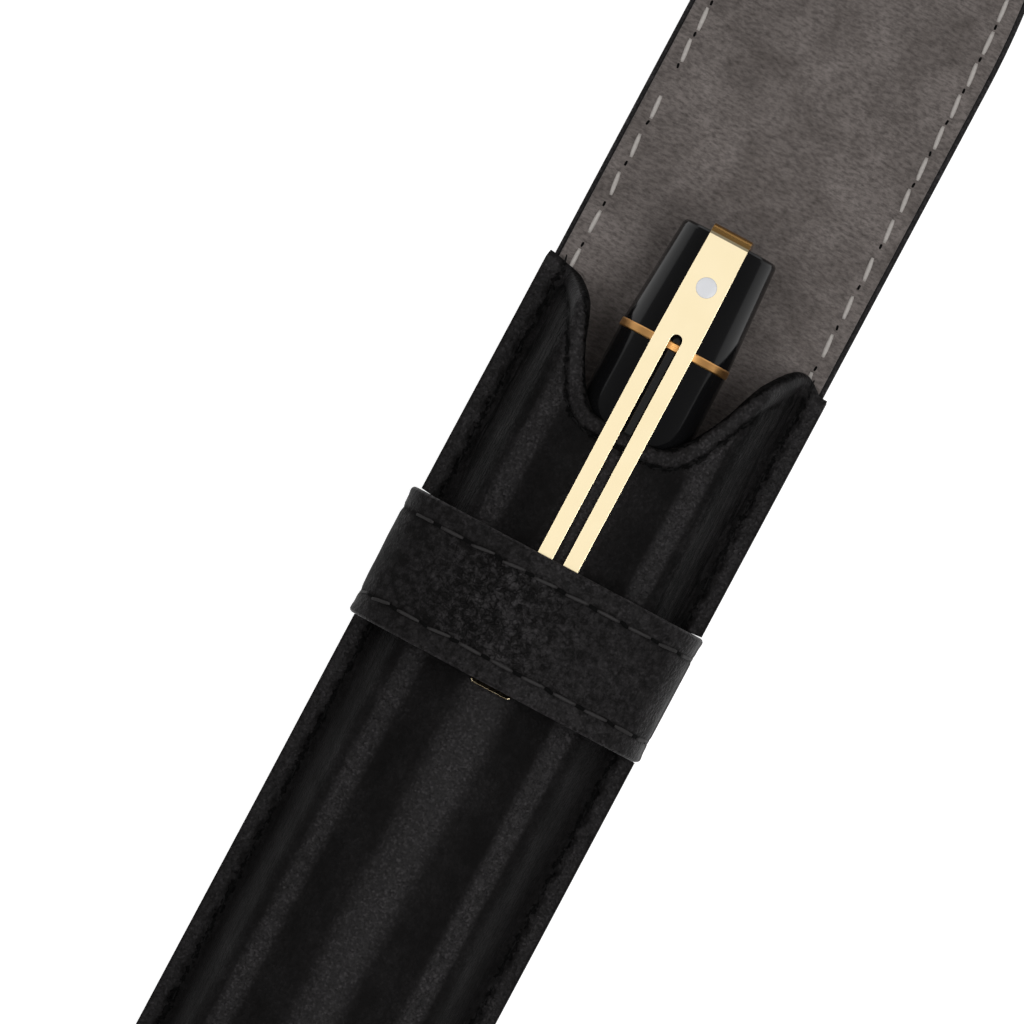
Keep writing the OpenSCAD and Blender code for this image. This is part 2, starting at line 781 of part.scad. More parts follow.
module barrel() {
    body_top = cap_lip_y - seal_gap;
    shoulder_y = body_top - 22;
    dome_l = 1.6;
    body_r = barrel_d / 2;
    tail_r = barrel_tail_d / 2;
    bore_end = converter_rear_y - knob_l - 2;
    steps = 6;
    color(black_resin)
        turned(concat(
            [
                [barrel_bore_d / 2, section_rear_y - bond],
                [collar_r, section_rear_y - bond],
                [collar_r, body_top],
                [body_r, body_top],
                [body_r, shoulder_y]
            ],
            [for (i = [1 : steps])
                let (t = i / steps)
                [body_r + (tail_r - body_r) * pow(t, 1.6), shoulder_y + (tail_y + dome_l - shoulder_y) * t]],
            [for (a = [30 : 30 : 60]) [tail_r * cos(a), tail_y + dome_l * (1 - sin(a))]],
            [[0, tail_y], [0, bore_end], [barrel_bore_d / 2, bore_end]]
        ));
}

module section() {
    waist_r = section_waist_d / 2;
    lip_r = section_lip_d / 2;
    collar_l = 1.5;
    color(black_resin)
        turned([
            [section_bore_r, section_front_y],
            [lip_r - 0.3, section_front_y],
            [lip_r, section_front_y - 0.4],
            [lip_r, section_front_y - 1],
            [waist_r, section_front_y - 3],
            [waist_r + 0.1, section_front_y - section_l / 2],
            [waist_r + 0.6, section_rear_y + collar_l],
            [collar_r, section_rear_y + collar_l],
            [collar_r, section_rear_y],
            [nipple_r, section_rear_y],
            [nipple_r, section_rear_y - nipple_l],
            [section_bore_r, section_rear_y - nipple_l]
        ]);
}

module feed() {
    nose_y = section_front_y + nib_l - feed_short;
    shank_y = section_rear_y + 4;
    comb_pitch = (nib_l - feed_short - 3) / comb_slots;
    color(black_resin)
        difference() {
            turned([
                [0, shank_y],
                [feed_r, shank_y],
                [feed_r, section_front_y],
                [feed_r - nib_taper * (nib_l - feed_short) / nib_l, nose_y],
                [0, nose_y]
            ]);
            for (i = [0 : comb_slots - 1])
                translate([-feed_r, section_front_y + 1 + comb_pitch * i, pen_z - feed_r - eps])
                    cube([2 * feed_r, comb_pitch / 2, feed_r]);
        }
}

module nib() {
    tip_y = section_front_y + nib_l;
    shank_l = 9;
    hole_y = section_front_y + 0.42 * nib_l;
    tip_half = 0.35;
    out = nib_d / 2;
    color(gold)
        difference() {
            intersection() {
                turned([
                    [out - nib_t, section_front_y - shank_l],
                    [out, section_front_y - shank_l],
                    [out, section_front_y],
                    [out - nib_taper, tip_y],
                    [out - nib_taper - nib_t, tip_y],
                    [out - nib_t, section_front_y]
                ]);
                translate([0, 0, pen_z])
                    linear_extrude(out + eps)
                        polygon(concat(
                            [[out, section_front_y - shank_l], [out, section_front_y + 0.3 * nib_l]],
                            [for (t = [0.2 : 0.2 : 1])
                                [
                                    tip_half + (out * 0.92 - tip_half) * pow(1 - t, 1.5),
                                    section_front_y + nib_l * (0.3 + 0.7 * t)
                                ]],
                            [for (t = [1 : -0.2 : 0.1])
                                [
                                    -tip_half - (out * 0.92 - tip_half) * pow(1 - t, 1.5),
                                    section_front_y + nib_l * (0.3 + 0.7 * t)
                                ]],
                            [[-out, section_front_y + 0.3 * nib_l], [-out, section_front_y - shank_l]]
                        ));
            }
            translate([0, hole_y, pen_z]) cylinder(r = 0.6, h = out + eps);
            translate([-slit_w / 2, hole_y, pen_z]) cube([slit_w, nib_l, out + eps]);
        }
}

module converter_tube() {
    out = converter_d / 2;
    inner = out - converter_wall;
    color(clear_resin)
        turned([
            [converter_wall, converter_front_y],
            [out, converter_front_y],
            [out, converter_rear_y],
            [rod_r + pen_run, converter_rear_y],
            [rod_r + pen_run, converter_rear_y + 2],
            [inner, converter_rear_y + 2],
            [inner, converter_front_y - 1],
            [converter_wall, converter_front_y - 1]
        ]);
}

module converter_piston() {
    inner = converter_d / 2 - converter_wall - pen_run;
    face_y = converter_front_y - converter_l / 2;
    color(black_resin)
        turned([
            [0, face_y],
            [inner, face_y],
            [inner, face_y - 3],
            [rod_r, face_y - 3],
            [rod_r, converter_rear_y - knob_l / 2],
            [0, converter_rear_y - knob_l / 2]
        ]);
}

module converter_knob() {
    out = converter_d / 2 - 0.4;
    top = converter_rear_y - bond;
    color(steel)
        turned([
            [rod_r + pen_run, top],
            [out, top],
            [out, top - knob_l + 0.5],
            [out - 0.5, top - knob_l],
            [0, top - knob_l],
            [0, converter_rear_y - knob_l / 2 - pen_run],
            [rod_r + pen_run, converter_rear_y - knob_l / 2 - pen_run]
        ]);
}

back_leather();
back_board();
back_lining();
front_leather();
front_lining();
mouth_roll();
strap_leather();
strap_lining();
bridge_leather();
bridge_lining();
tongue_leather();
tongue_lining();
cap_tube();
cap_ring();
cap_crown();
inner_cap();
clip();
clip_stud();
barrel();
section();
feed();
nib();
converter_tube();
converter_piston();
converter_knob();
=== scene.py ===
"""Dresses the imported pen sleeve: a moulded calf pouch with a tuck-in flap, a retaining strap and its pen.

Sizes are in millimetres, in the frame of the solids, and become metres when a mesh is made.
"""

import logging
import math
from dataclasses import dataclass, field
from enum import Enum
from functools import partial
from typing import Callable, Sequence, Union

import bmesh
import bpy
import numpy as np
from bpy.types import GeometryNodeTree, Material, Mesh, NodeSocket, NodeTree, Object
from mathutils import Matrix, Vector, noise
from mathutils.bvhtree import BVHTree
from mathutils.kdtree import KDTree


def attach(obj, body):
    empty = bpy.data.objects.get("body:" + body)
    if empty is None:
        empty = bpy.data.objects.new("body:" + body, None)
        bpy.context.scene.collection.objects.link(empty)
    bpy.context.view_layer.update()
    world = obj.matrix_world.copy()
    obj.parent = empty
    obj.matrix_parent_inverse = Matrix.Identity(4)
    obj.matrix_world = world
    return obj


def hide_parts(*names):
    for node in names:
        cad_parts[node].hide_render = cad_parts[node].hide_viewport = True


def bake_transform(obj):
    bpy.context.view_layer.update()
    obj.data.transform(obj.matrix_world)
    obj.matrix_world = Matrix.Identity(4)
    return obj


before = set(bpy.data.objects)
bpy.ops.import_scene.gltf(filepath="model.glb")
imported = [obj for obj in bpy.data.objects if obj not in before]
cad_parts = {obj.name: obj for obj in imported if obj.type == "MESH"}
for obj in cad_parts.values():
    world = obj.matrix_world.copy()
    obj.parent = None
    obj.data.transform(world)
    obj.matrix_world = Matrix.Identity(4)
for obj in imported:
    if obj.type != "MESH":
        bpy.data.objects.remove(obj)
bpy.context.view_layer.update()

LOG = logging.getLogger("pen_sleeve")
MM = 0.001
SEAM_ZERO = 2.0  # added to the seams' attributes, so that a missing one reads as far away
Point = Sequence[float]
Value = Union[NodeSocket, Point, float]
Put = Callable[..., NodeSocket]


# ---- small sums ------------------------------------------------------------------------------


def clamp(value: float, low: float = 0.0, high: float = 1.0) -> float:
    """Keeps a value between two limits."""
    return min(max(value, low), high)


def bell(value: float, middle: float, width: float) -> float:
    """Bell curve: 1 at its middle, and 0.37 at a width from there."""
    return math.exp(-((value - middle) / width) ** 2)


def step_between(low: float, high: float, value: float) -> float:
    """Smooth step from 0 at low to 1 at high."""
    t = clamp((value - low) / (high - low))
    return t * t * (3 - 2 * t)


def lumps(point: Point, size: float, seed: float) -> float:
    """Smooth noise from -1 to 1 in space, with features of the given size."""
    return noise.noise(Vector((point[0] / size + seed, point[1] / size, point[2] / size - seed)))


def streaks(x: float, y: float, wide: float, long: float, seed: float) -> float:
    """Smooth noise from -1 to 1 on a sheet, with features of the given width and length."""
    return noise.noise(Vector((x / wide, y / long, seed)))


def unit(vectors: np.ndarray) -> np.ndarray:
    """Scales vectors to a length of 1."""
    return vectors / np.maximum(np.linalg.norm(vectors, axis=-1, keepdims=True), 1e-9)


def run_along(points: np.ndarray) -> np.ndarray:
    """Distance of each point from the start of its line, along the line."""
    return np.concatenate([[0], np.cumsum(np.linalg.norm(np.diff(points, axis=0), axis=1))])


def at_places(points: np.ndarray, run: np.ndarray, places: np.ndarray) -> np.ndarray:
    """Rows of a line at given distances along it."""
    return np.stack([np.interp(places, run, column) for column in points.T], axis=1)


def evenly(points: np.ndarray, step: float) -> np.ndarray:
    """Spaces the points of a line evenly."""
    run = run_along(points)
    return at_places(points, run, np.arange(0, run[-1], step))


def divided(marks: Sequence[float], step: float) -> list[float]:
    """Divides each stretch between two marks into equal parts.

    Args:
        marks: The marks in order.
        step: The wanted length of a part.

    Returns:
        The marks and the places between them.
    """
    places = [marks[0]]
    for start, end in zip(marks, marks[1:]):
        count = max(1, round(abs(end - start) / step))
        places += [start + (end - start) * i / count for i in range(1, count + 1)]
    return places


@dataclass
class Section:
    """A smooth line of arcs and straights, as points [across, height, normal x, normal z].

    Its angles are in radians from the vertical.
    """

    step: float
    points: list[tuple[float, float, float, float]] = field(default_factory=list)

    def add(self, x: float, z: float, angle: float) -> None:
        """Adds a point, unless it repeats the last one."""
        if not self.points or math.dist((x, z), self.points[-1][:2]) > 0.05:
            self.points.append((x, z, math.sin(angle), math.cos(angle)))

    def arc(self, centre: Point, r: float, start: float, end: float) -> None:
        """Adds an arc.

        Args:
            centre: Its centre as [across, height].
            r: Its radius, negative where the line is hollow.
            start: The normal's angle at its start.
            end: The normal's angle at its end.
        """
        for a in np.linspace(start, end, max(2, round(abs((end - start) * r) / self.step)) + 1):
            self.add(centre[0] + r * math.sin(a), centre[1] + r * math.cos(a), a)

    def line(self, x: float, z: float, angle: float) -> None:
        """Adds a straight.

        Args:
            x: Its end across the sleeve.
            z: Its end's height.
            angle: The angle of its normal.
        """
        x0, z0 = self.points[-1][:2]
        count = max(1, round(math.hypot(x - x0, z - z0) / self.step))
        for t in np.linspace(0, 1, count + 1)[1:]:
            self.add(x0 + (x - x0) * t, z0 + (z - z0) * t, angle)


def mirrored(points: list[tuple[float, float, float, float]]) -> list[tuple[float, float, float, float]]:
    """A section's points on the sleeve's other side, in the opposite order."""
    return [(-x, z, -nx, nz) for x, z, nx, nz in reversed(points)]


# ---- shared sizes ----------------------------------------------------------------------------


@dataclass(frozen=True)
class Sleeve:
    """The sizes that several pieces share."""

    leather_t: float = 1.1
    lining_t: float = 0.6
    bond: float = 0.03  # glue between two layers
    board_rise: float = 0.43  # the board under the back's lining, with its glue
    seam_bond: float = 0.08  # extra room where the front is laid on the back
    pouch_w: float = 36.1
    pouch_l: float = 141.0
    corner_r: float = 4.0
    bottom_seam: float = 3.0
    end_drop: float = 6.0  # the run over which the front comes down to that seam
    scoop_depth: float = 14.3
    scoop_half_w: float = 9.05
    scoop_power: float = 5.8  # steepness of the scoop's sides
    scoop_lift: float = 0.4
    mouth_peak: float = 1.1
    right_peak: float = 1.9
    right_peak_x: float = 14.9
    flap_w: float = 34.8
    fold_a: float = 13.0
    fold_b: float = 32.29
    flap_end: float = 99.29
    board_end: float = 10.0
    tongue_straight: float = 20.0  # the run past the second fold before the flap narrows
    tip_r: float = 8.5
    strap_hi: float = -30.4
    strap_lo: float = -46.3
    hump: float = 1.43  # rise of the back over the strap's lower run
    ramp_l: float = 26.0  # the run over which it rises, on both sides of the strap
    waist_half: float = 16.8  # half of the pouch's width under the strap
    waist_run: float = 0.15
    waist_slack: float = 0.02
    pitch: float = 3.65  # of the pouch's stitches
    ridge_r: float = 8.93
    ridge_z: float = 19.62

    @property
    def front_t(self) -> float:
        """Thickness of the lined front panel, and height of the flap's suede above the resting plane."""
        return self.leather_t + self.bond + self.lining_t

    @property
    def seam_top(self) -> float:
        """Height of the flat seam's outer face."""
        return 2 * self.front_t + self.board_rise + self.seam_bond

    @property
    def roll_r(self) -> float:
        """Radius of the turned mouth edge."""
        return self.front_t / 2

    @property
    def waist_marks(self) -> list[float]:
        """Places where the waist under the strap starts and ends, from the mouth downwards."""
        return [self.strap_hi + self.waist_run, self.strap_hi + self.waist_slack,
                self.strap_lo - self.waist_slack, self.strap_lo - self.waist_run]

    def past_strap(self, y: float) -> float:
        """Distance from the strap along the pouch, negative under it."""
        return max(y - self.strap_hi, self.strap_lo - y)

    def hump_z(self, y: float) -> float:
        """Rise of the back over the strap at a place along the pouch."""
        share = clamp(1 - max(self.past_strap(y), 0.0) / self.ramp_l)
        return self.hump * (1 - math.cos(math.pi * share)) / 2

    def board_step(self, y: float) -> float:
        """How much of the board's thickness lifts the lining at a place along the sleeve."""
        top = self.fold_a - 0.1
        return self.board_rise * clamp((top - y) / (top - self.board_end))

    def mouth_y(self, u: float) -> float:
        """Edge of the scooped mouth, behind its rolled rim.

        Args:
            u: Place across the sleeve.

        Returns:
            Its place along the sleeve. The right peak stands a little higher than the left one.
        """
        lean = u + 0.1 * bell(abs(u), 11, 4)
        over = abs(lean) / (self.scoop_half_w + self.roll_r)
        depth = self.scoop_depth + self.mouth_peak - self.scoop_lift
        peak = self.right_peak * bell(u, self.right_peak_x, 2.2 if u < self.right_peak_x else 1.0)
        bulge = peak - 0.45 * bell(u, 18, 1.2)
        return self.mouth_peak - self.roll_r + bulge - depth / (1 + over ** self.scoop_power)

    def waist_in(self, y: float) -> float:
        """How far the seam's margins are drawn in where the strap passes."""
        beyond = self.past_strap(y) - self.waist_slack
        return clamp(1 - beyond / (self.waist_run - self.waist_slack)) * (self.pouch_w / 2 - self.waist_half)

    def tongue_side(self, inset: float) -> np.ndarray:
        """Right side of the flap, from the mouth line to the middle of its tip.

        Args:
            inset: How far inside the flap's edge the line runs.

        Returns:
            Rows of [across, along].
        """
        wide, ease = self.flap_w / 2, self.tongue_straight * 0.6
        taper_y = self.fold_b + self.tongue_straight
        run = self.flap_end - self.tip_r - taper_y
        angle = math.atan2(wide, run) - math.asin(self.tip_r / math.hypot(wide, run))
        corner = np.array([wide - inset, taper_y - inset * math.tan(angle / 2)])
        taper = np.array([-math.sin(angle), math.cos(angle)])
        points = [np.array([wide - inset, 0.0])]
        for t in np.linspace(0, 1, 13):
            points.append(corner - np.array([0, ease]) * (1 - t) ** 2 + taper * ease * t ** 2)
        centre = np.array([0, self.flap_end - self.tip_r])
        for a in np.linspace(angle, math.pi / 2, 25):
            points.append(centre + (self.tip_r - inset) * np.array([math.cos(a), math.sin(a)]))
        return np.array(points)


SLEEVE = Sleeve()


class Body(Enum):
    """The bodies that the pieces ride on."""

    POUCH = "pouch"
    BRIDGE = "flap_bridge"
    TONGUE = "flap_tongue"
    PEN = "pen"
    CAP = "cap"


# ---- meshes ----------------------------------------------------------------------------------


def link(name: str, data: bpy.types.ID) -> Object:
    """Makes an object at the origin and puts it in the scene.

    Args:
        name: Its name.
        data: Its mesh, camera or light.

    Returns:
        The object.
    """
    obj = bpy.data.objects.new(name, data)
    bpy.context.scene.collection.objects.link(obj)
    return obj


def finished(name: str, shape: bmesh.types.BMesh, materials: Sequence[Material], crease: float) -> Object:
    """Makes a closed shape a piece, with its faces pointing outwards.

    Args:
        name: The piece's name.
        shape: The shape in metres, which is freed.
        materials: Its materials.
        crease: The angle in degrees past which an edge is drawn sharp.

    Returns:
        The new object.
    """
    bmesh.ops.recalc_face_normals(shape, faces=shape.faces)
    mesh = bpy.data.meshes.new(name)
    shape.to_mesh(mesh)
    shape.free()
    for material in materials:
        mesh.materials.append(material)
    mesh.shade_smooth()
    mesh.set_sharp_from_angle(angle=math.radians(crease))
    return link(name, mesh)


def solid(name: str, points: np.ndarray, faces: list, material: Material, crease: float) -> Object:
    """Makes a closed piece of points and faces.

    Args:
        name: The piece's name.
        points: Its points in millimetres.
        faces: Its faces as point numbers.
        material: Its material.
        crease: The angle in degrees past which an edge is drawn sharp.

    Returns:
        The new object.
    """
    plain = bpy.data.meshes.new(name + "_plain")
    plain.from_pydata((np.asarray(points) * MM).tolist(), [], faces)
    shape = bmesh.new()
    shape.from_mesh(plain)
    bpy.data.meshes.remove(plain)
    bmesh.ops.remove_doubles(shape, verts=shape.verts, dist=1e-7)
    return finished(name, shape, [material], crease)


def tube_of_rings(rings: np.ndarray, capped: bool = True) -> tuple[np.ndarray, list[list[int]]]:
    """Joins closed rings of points into a tube.

    Args:
        rings: The rings, as [ring, point, xyz].
        capped: Whether its two ends get a face.

    Returns:
        The points and the faces.
    """
    count, size, _ = rings.shape
    faces = [
        [j * size + i, j * size + (i + 1) % size, (j + 1) * size + (i + 1) % size, (j + 1) * size + i]
        for j in range(count - 1) for i in range(size)
    ]
    if capped:
        faces += [list(range(size)), list(range((count - 1) * size, count * size))]
    return rings.reshape(-1, 3), faces


def folded_sheet(rings: np.ndarray, side: int) -> tuple[np.ndarray, list[list[int]]]:
    """Joins rings that each run along one face of a sheet and back along its other face.

    Args:
        rings: The rings, as [ring, point, xyz].
        side: The number of points on one face. Points past two sides are its turned edge.

    Returns:
        The points and the faces.
    """
    points, faces = tube_of_rings(rings, capped=False)
    size = rings.shape[1]
    for first in (0, (len(rings) - 1) * size):
        faces += [[first + k, first + k + 1, first + size - 2 - k, first + size - 1 - k]
                  for k in range(side - 1)]
        if size > 2 * side:
            faces.append(list(range(first + side - 1, first + size - side + 1)))
    return points, faces


def paint(mesh: Mesh, rule: Callable[[float, float, float, float], dict[str, float]]) -> None:
    """Stores numbers at each point of a mesh, for the shaders to read.

    Args:
        mesh: The mesh.
        rule: Gives numbers by name, for a point's x, y and z in millimetres and its normal's z.
    """
    found = [rule(*(c / MM for c in v.co), v.normal.z) for v in mesh.vertices]
    for name in found[0]:
        values = np.array([numbers[name] for numbers in found], np.float32)
        mesh.attributes.new(name, "FLOAT", "POINT").data.foreach_set("value", values)


def seat(obj: Object) -> BVHTree:
    """A search tree of a piece's surface."""
    return BVHTree.FromObject(obj, bpy.context.evaluated_depsgraph_get())


def drape(tree: BVHTree, flat: np.ndarray, from_above: bool) -> np.ndarray:
    """Drops a flat line on a surface.

    Args:
        tree: The surface.
        flat: Points as [x, y], in millimetres.
        from_above: Whether it falls from above or rises from below.

    Returns:
        Rows of point and normal.
    """
    rows = []
    start_z, way = (60.0, -1.0) if from_above else (-20.0, 1.0)
    for x, y in flat:
        spot, normal, _, _ = tree.ray_cast(Vector((x * MM, y * MM, start_z * MM)), Vector((0, 0, way)))
        if spot is not None:
            rows.append([*(spot / MM), *(-normal if normal.z * way > 0 else normal)])
    return np.array(rows)


# ---- nodes -----------------------------------------------------------------------------------


def linear(hex_code: str) -> tuple[float, float, float, float]:
    """Turns an sRGB hex colour into the linear colour that the shaders take.

    Args:
        hex_code: The colour, as # and six digits.

    Returns:
        Red, green, blue and alpha.
    """
    parts = [int(hex_code[i:i + 2], 16) / 255 for i in (1, 3, 5)]
    red, green, blue = (p / 12.92 if p <= 0.04045 else ((p + 0.055) / 1.055) ** 2.4 for p in parts)
    return red, green, blue, 1.0


def per_mm(size: float) -> float:
    """Scale of a pattern on Object coordinates whose features measure size millimetres."""
    return 1 / (size * MM)


def put(tree: NodeTree, kind: str, inputs: dict | Sequence[Value] = (), out: int | str = 0,
        **settings: object) -> NodeSocket:
    """Adds a node, sets its properties, and fills or links its inputs.

    Args:
        tree: The tree that takes the node.
        kind: Blender's name for the node type.
        inputs: Values or output sockets, in the inputs' order or by the input's name or number.
        out: Name or number of the output that is wanted.
        settings: Properties of the node.

    Returns:
        The wanted output, or None for a node that has none.
    """
    node = tree.nodes.new(kind)
    for name, value in settings.items():
        setattr(node, name, value)
    for name, value in (inputs if isinstance(inputs, dict) else dict(enumerate(inputs))).items():
        if isinstance(value, NodeSocket):
            tree.links.new(value, node.inputs[name])
        else:
            node.inputs[name].default_value = value
    return node.outputs[out] if node.outputs else None


def blank_material(name: str) -> tuple[Material, Put]:
    """Starts a material with an empty node tree.

    Args:
        name: The material's name.

    Returns:
        The material, and put() for its tree.
    """
    material = bpy.data.materials.new(name)
    material.use_nodes = True
    material.node_tree.nodes.clear()
    return material, partial(put, material.node_tree)


# ---- materials -------------------------------------------------------------------------------


@dataclass(frozen=True)
class CalfLeather:
    """Drum-dyed black calf with its natural grain: nearly black, with a soft, broken shine.

    The pieces carry attributes. "rubbed" is 1 where handling has polished the skin and lifted the
    dye, and where faces that turn up are painted lighter as highlight; it is -1 where painted shade darkens
    the leather beside a seam. "grain" adds to the height of the pebbles, and "creased" draws fine folds
    that run along the sleeve, sunk and painted dark as shade. "side_seam" and "mouth_seam" hold the distance
    from a seam in millimetres, plus SEAM_ZERO.
    """

    name: str
    colour: str = "#100f0f"
    # lighter colour of worn dye, and of painted highlight on faces that turn up
    worn: str = "#363435"
    # colour of the painted shade in folds, cracks, seam cuts and beside seams
    sunk: str = "#030303"
    pebble: float = 0.48
    relief: float = 0.05
    folds: float = 0.06
    crack: float = 0.8
    cracks: float = 0.6
    tops: float = 0.2
    ragged: float = 1.7
    roughness: float = 0.42
    specular: float = 0.06

    def veins(self, add: Put, place: NodeSocket, size: float, width: tuple[float, float], depth: float,
              where: NodeSocket) -> NodeSocket:
        """Draws thin valleys where a noise crosses its middle.

        Args:
            add: Adds a node to the tree.
            place: The noise's coordinates.
            size: The noise's size in millimetres.
            width: Distances from the noise's middle at the valley's brink and at its floor.
            depth: Strength of the valleys.
            where: How much of them shows.

        Returns:
            A number from 0 beside the valleys to 1.
        """
        web = add("ShaderNodeTexNoise", {"Vector": place, "Scale": per_mm(size), "Detail": 2.0})
        off = add("ShaderNodeMath", [web, 0.5], operation="SUBTRACT")
        off = add("ShaderNodeMath", [off], operation="ABSOLUTE")
        line = add("ShaderNodeMapRange", [off, *width, 0.0, depth], interpolation_type="SMOOTHSTEP")
        return add("ShaderNodeMath", [line, where], operation="MULTIPLY", use_clamp=True)

    def cut(self, add: Put, place: NodeSocket, seams: list[NodeSocket]) -> NodeSocket:
        """Draws the seams: thin ragged cuts that open into pits, which are sunk and painted dark as shade.

        Args:
            add: Adds a node to the tree.
            place: The coordinates.
            seams: The seams' attributes.

        Returns:
            A number from 0 beside the cuts to 1 in them.
        """
        ragged, wide = (
            add("ShaderNodeTexNoise", {
                "Vector": place, "Scale": per_mm(size), "Detail": detail, "Roughness": rough})
            for size, detail, rough in ((0.75, 4.0, 0.65), (0.8, 3.0, 0.6)))
        width = add("ShaderNodeMapRange", [wide, 0.42, 0.66, 0.04, 0.38])
        cuts = []
        for seam in seams:
            gap = add("ShaderNodeMath", [ragged, self.ragged, seam], operation="MULTIPLY_ADD")
            gap = add("ShaderNodeMath", [gap, SEAM_ZERO + self.ragged / 2], operation="SUBTRACT")
            gap = add("ShaderNodeMath", [gap], operation="ABSOLUTE")
            gap = add("ShaderNodeMath", [gap, width], operation="DIVIDE")
            cuts.append(add("ShaderNodeMapRange", [gap, 1.3, 0.5], interpolation_type="SMOOTHSTEP"))
        return add("ShaderNodeMath", cuts, operation="MAXIMUM")

    def build(self) -> Material:
        """Builds the shader: dyed colour, pebbled grain, fine pores, folds, seams, worn places, painted
        highlight, and painted shade in folds, cracks and seams.

        Returns:
            The material.
        """
        material, add = blank_material(self.name)
        place = add("ShaderNodeTexCoord", out="Object")
        rubbed, grain, creased, *seams = (
            add("ShaderNodeAttribute", out="Fac", attribute_name=name)
            for name in ("rubbed", "grain", "creased", "side_seam", "mouth_seam"))
        # calf's pebbles are 0.3 to 0.5 mm wide and are drawn a little wider, so that they show
        warp = add("ShaderNodeTexNoise", {"Vector": place, "Scale": per_mm(1.1), "Detail": 3.0}, "Color")
        warp = add("ShaderNodeVectorMath", [warp, (-0.5, -0.5, -0.5)], operation="ADD")
        moved = add("ShaderNodeVectorMath", [warp, (0.0006, 0.0006, 0.0006), place], operation="MULTIPLY_ADD")
        cells = add("ShaderNodeTexVoronoi", {
            "Vector": moved, "Scale": per_mm(self.pebble), "Smoothness": 0.7}, "Distance",
            feature="SMOOTH_F1")
        pebble = add("ShaderNodeMapRange", [cells, 0.62, 0.12], interpolation_type="SMOOTHSTEP")
        pores, folds, patches, coarse = (
            add("ShaderNodeTexNoise", {
                "Vector": vector, "Scale": per_mm(size), "Detail": detail, "Roughness": rough,
                "Distortion": twist})
            for vector, size, detail, rough, twist in (
                (place, 0.26, 4.0, 0.62, 0.0), (place, 2.4, 5.0, 0.62, 0.5),
                (place, 6.0, 4.0, 0.6, 0.0), (moved, 0.9, 5.0, 0.72, 0.0)))
        # folds along the sleeve: thin valleys about 0.9 mm apart and many millimetres long, sunk and painted
        # dark as shade
        drawn = add("ShaderNodeVectorMath", [moved, (1.0, 0.11, 0.8)], operation="MULTIPLY")
        crease = self.veins(add, drawn, 1.3, (0.09, 0.02), 1.0, creased)
        # short cracks between the pebbles, where the grain is strong, sunk and painted dark as shade
        cracked = self.veins(add, moved, self.crack, (0.05, 0.01), self.cracks, grain)
        cut = self.cut(add, place, seams)
        # the heights add up in millimetres: the pebbles' own, then each pattern's
        amount = add("ShaderNodeMapRange", [patches, 0.35, 0.65, self.relief * 0.35, self.relief * 1.3])
        amount = add("ShaderNodeMath", [grain, 0.06, amount], operation="MULTIPLY_ADD")
        height = 0.0
        for source, size in ((pebble, amount), (pores, 0.03), (folds, self.folds), (coarse, self.folds),
                             (crease, -0.16), (cracked, -0.1), (cut, -0.25)):
            height = add("ShaderNodeMath", [source, size, height], operation="MULTIPLY_ADD")
        bump = add("ShaderNodeBump", {"Height": height, "Strength": 1.0, "Distance": MM})
        tone = add("ShaderNodeMapRange", [patches, 0.3, 0.75, -0.1, 0.18])
        # the worn share lightens the dye: real rubbing, and painted highlight where the pieces mark faces
        # that turn up
        wear_light_and_tone = add("ShaderNodeMath", [rubbed, tone], operation="ADD")
        fine = add("ShaderNodeMapRange", [pores, 0.3, 0.7, 0.1, 1.7], clamp=False)
        worn = add("ShaderNodeMath", [wear_light_and_tone, fine], operation="MULTIPLY")
        dipped = add("ShaderNodeMapRange", [pebble, 0.0, 1.0, 0.4, 1.15])
        worn = add("ShaderNodeMath", [worn, dipped], operation="MULTIPLY")
        # the dye has also worn off the tops of the coarse grain
        tops = add("ShaderNodeMapRange", [coarse, 0.38, 0.62, -0.7 * self.tops, self.tops], clamp=False)
        worn = add("ShaderNodeMath", [tops, grain, worn], operation="MULTIPLY_ADD", use_clamp=True)
        # folds, cracks and seam cuts are painted dark as shade in their recesses, on top of their bumps, and
        # a negative wear value adds painted shade beside seams
        recess_shade = crease
        for other in (cracked, cut):
            recess_shade = add("ShaderNodeMath", [recess_shade, other], operation="MAXIMUM")
        shadow = add("ShaderNodeMath", [rubbed, -1.0, recess_shade], operation="MULTIPLY_ADD", use_clamp=True)
        colour = linear(self.colour)
        for share, other in ((worn, self.worn), (shadow, self.sunk)):
            colour = add("ShaderNodeMix", {0: share, 6: colour, 7: linear(other)}, 2, data_type="RGBA")
        shine = add("ShaderNodeMapRange", [wear_light_and_tone, 0.0, 0.6, 0.85, self.roughness])
        skin = add("ShaderNodeBsdfPrincipled", {
            "Base Color": colour, "Roughness": shine, "IOR": 1.5, "Specular IOR Level": self.specular,
            "Normal": bump})
        add("ShaderNodeOutputMaterial", {"Surface": skin})
        return material


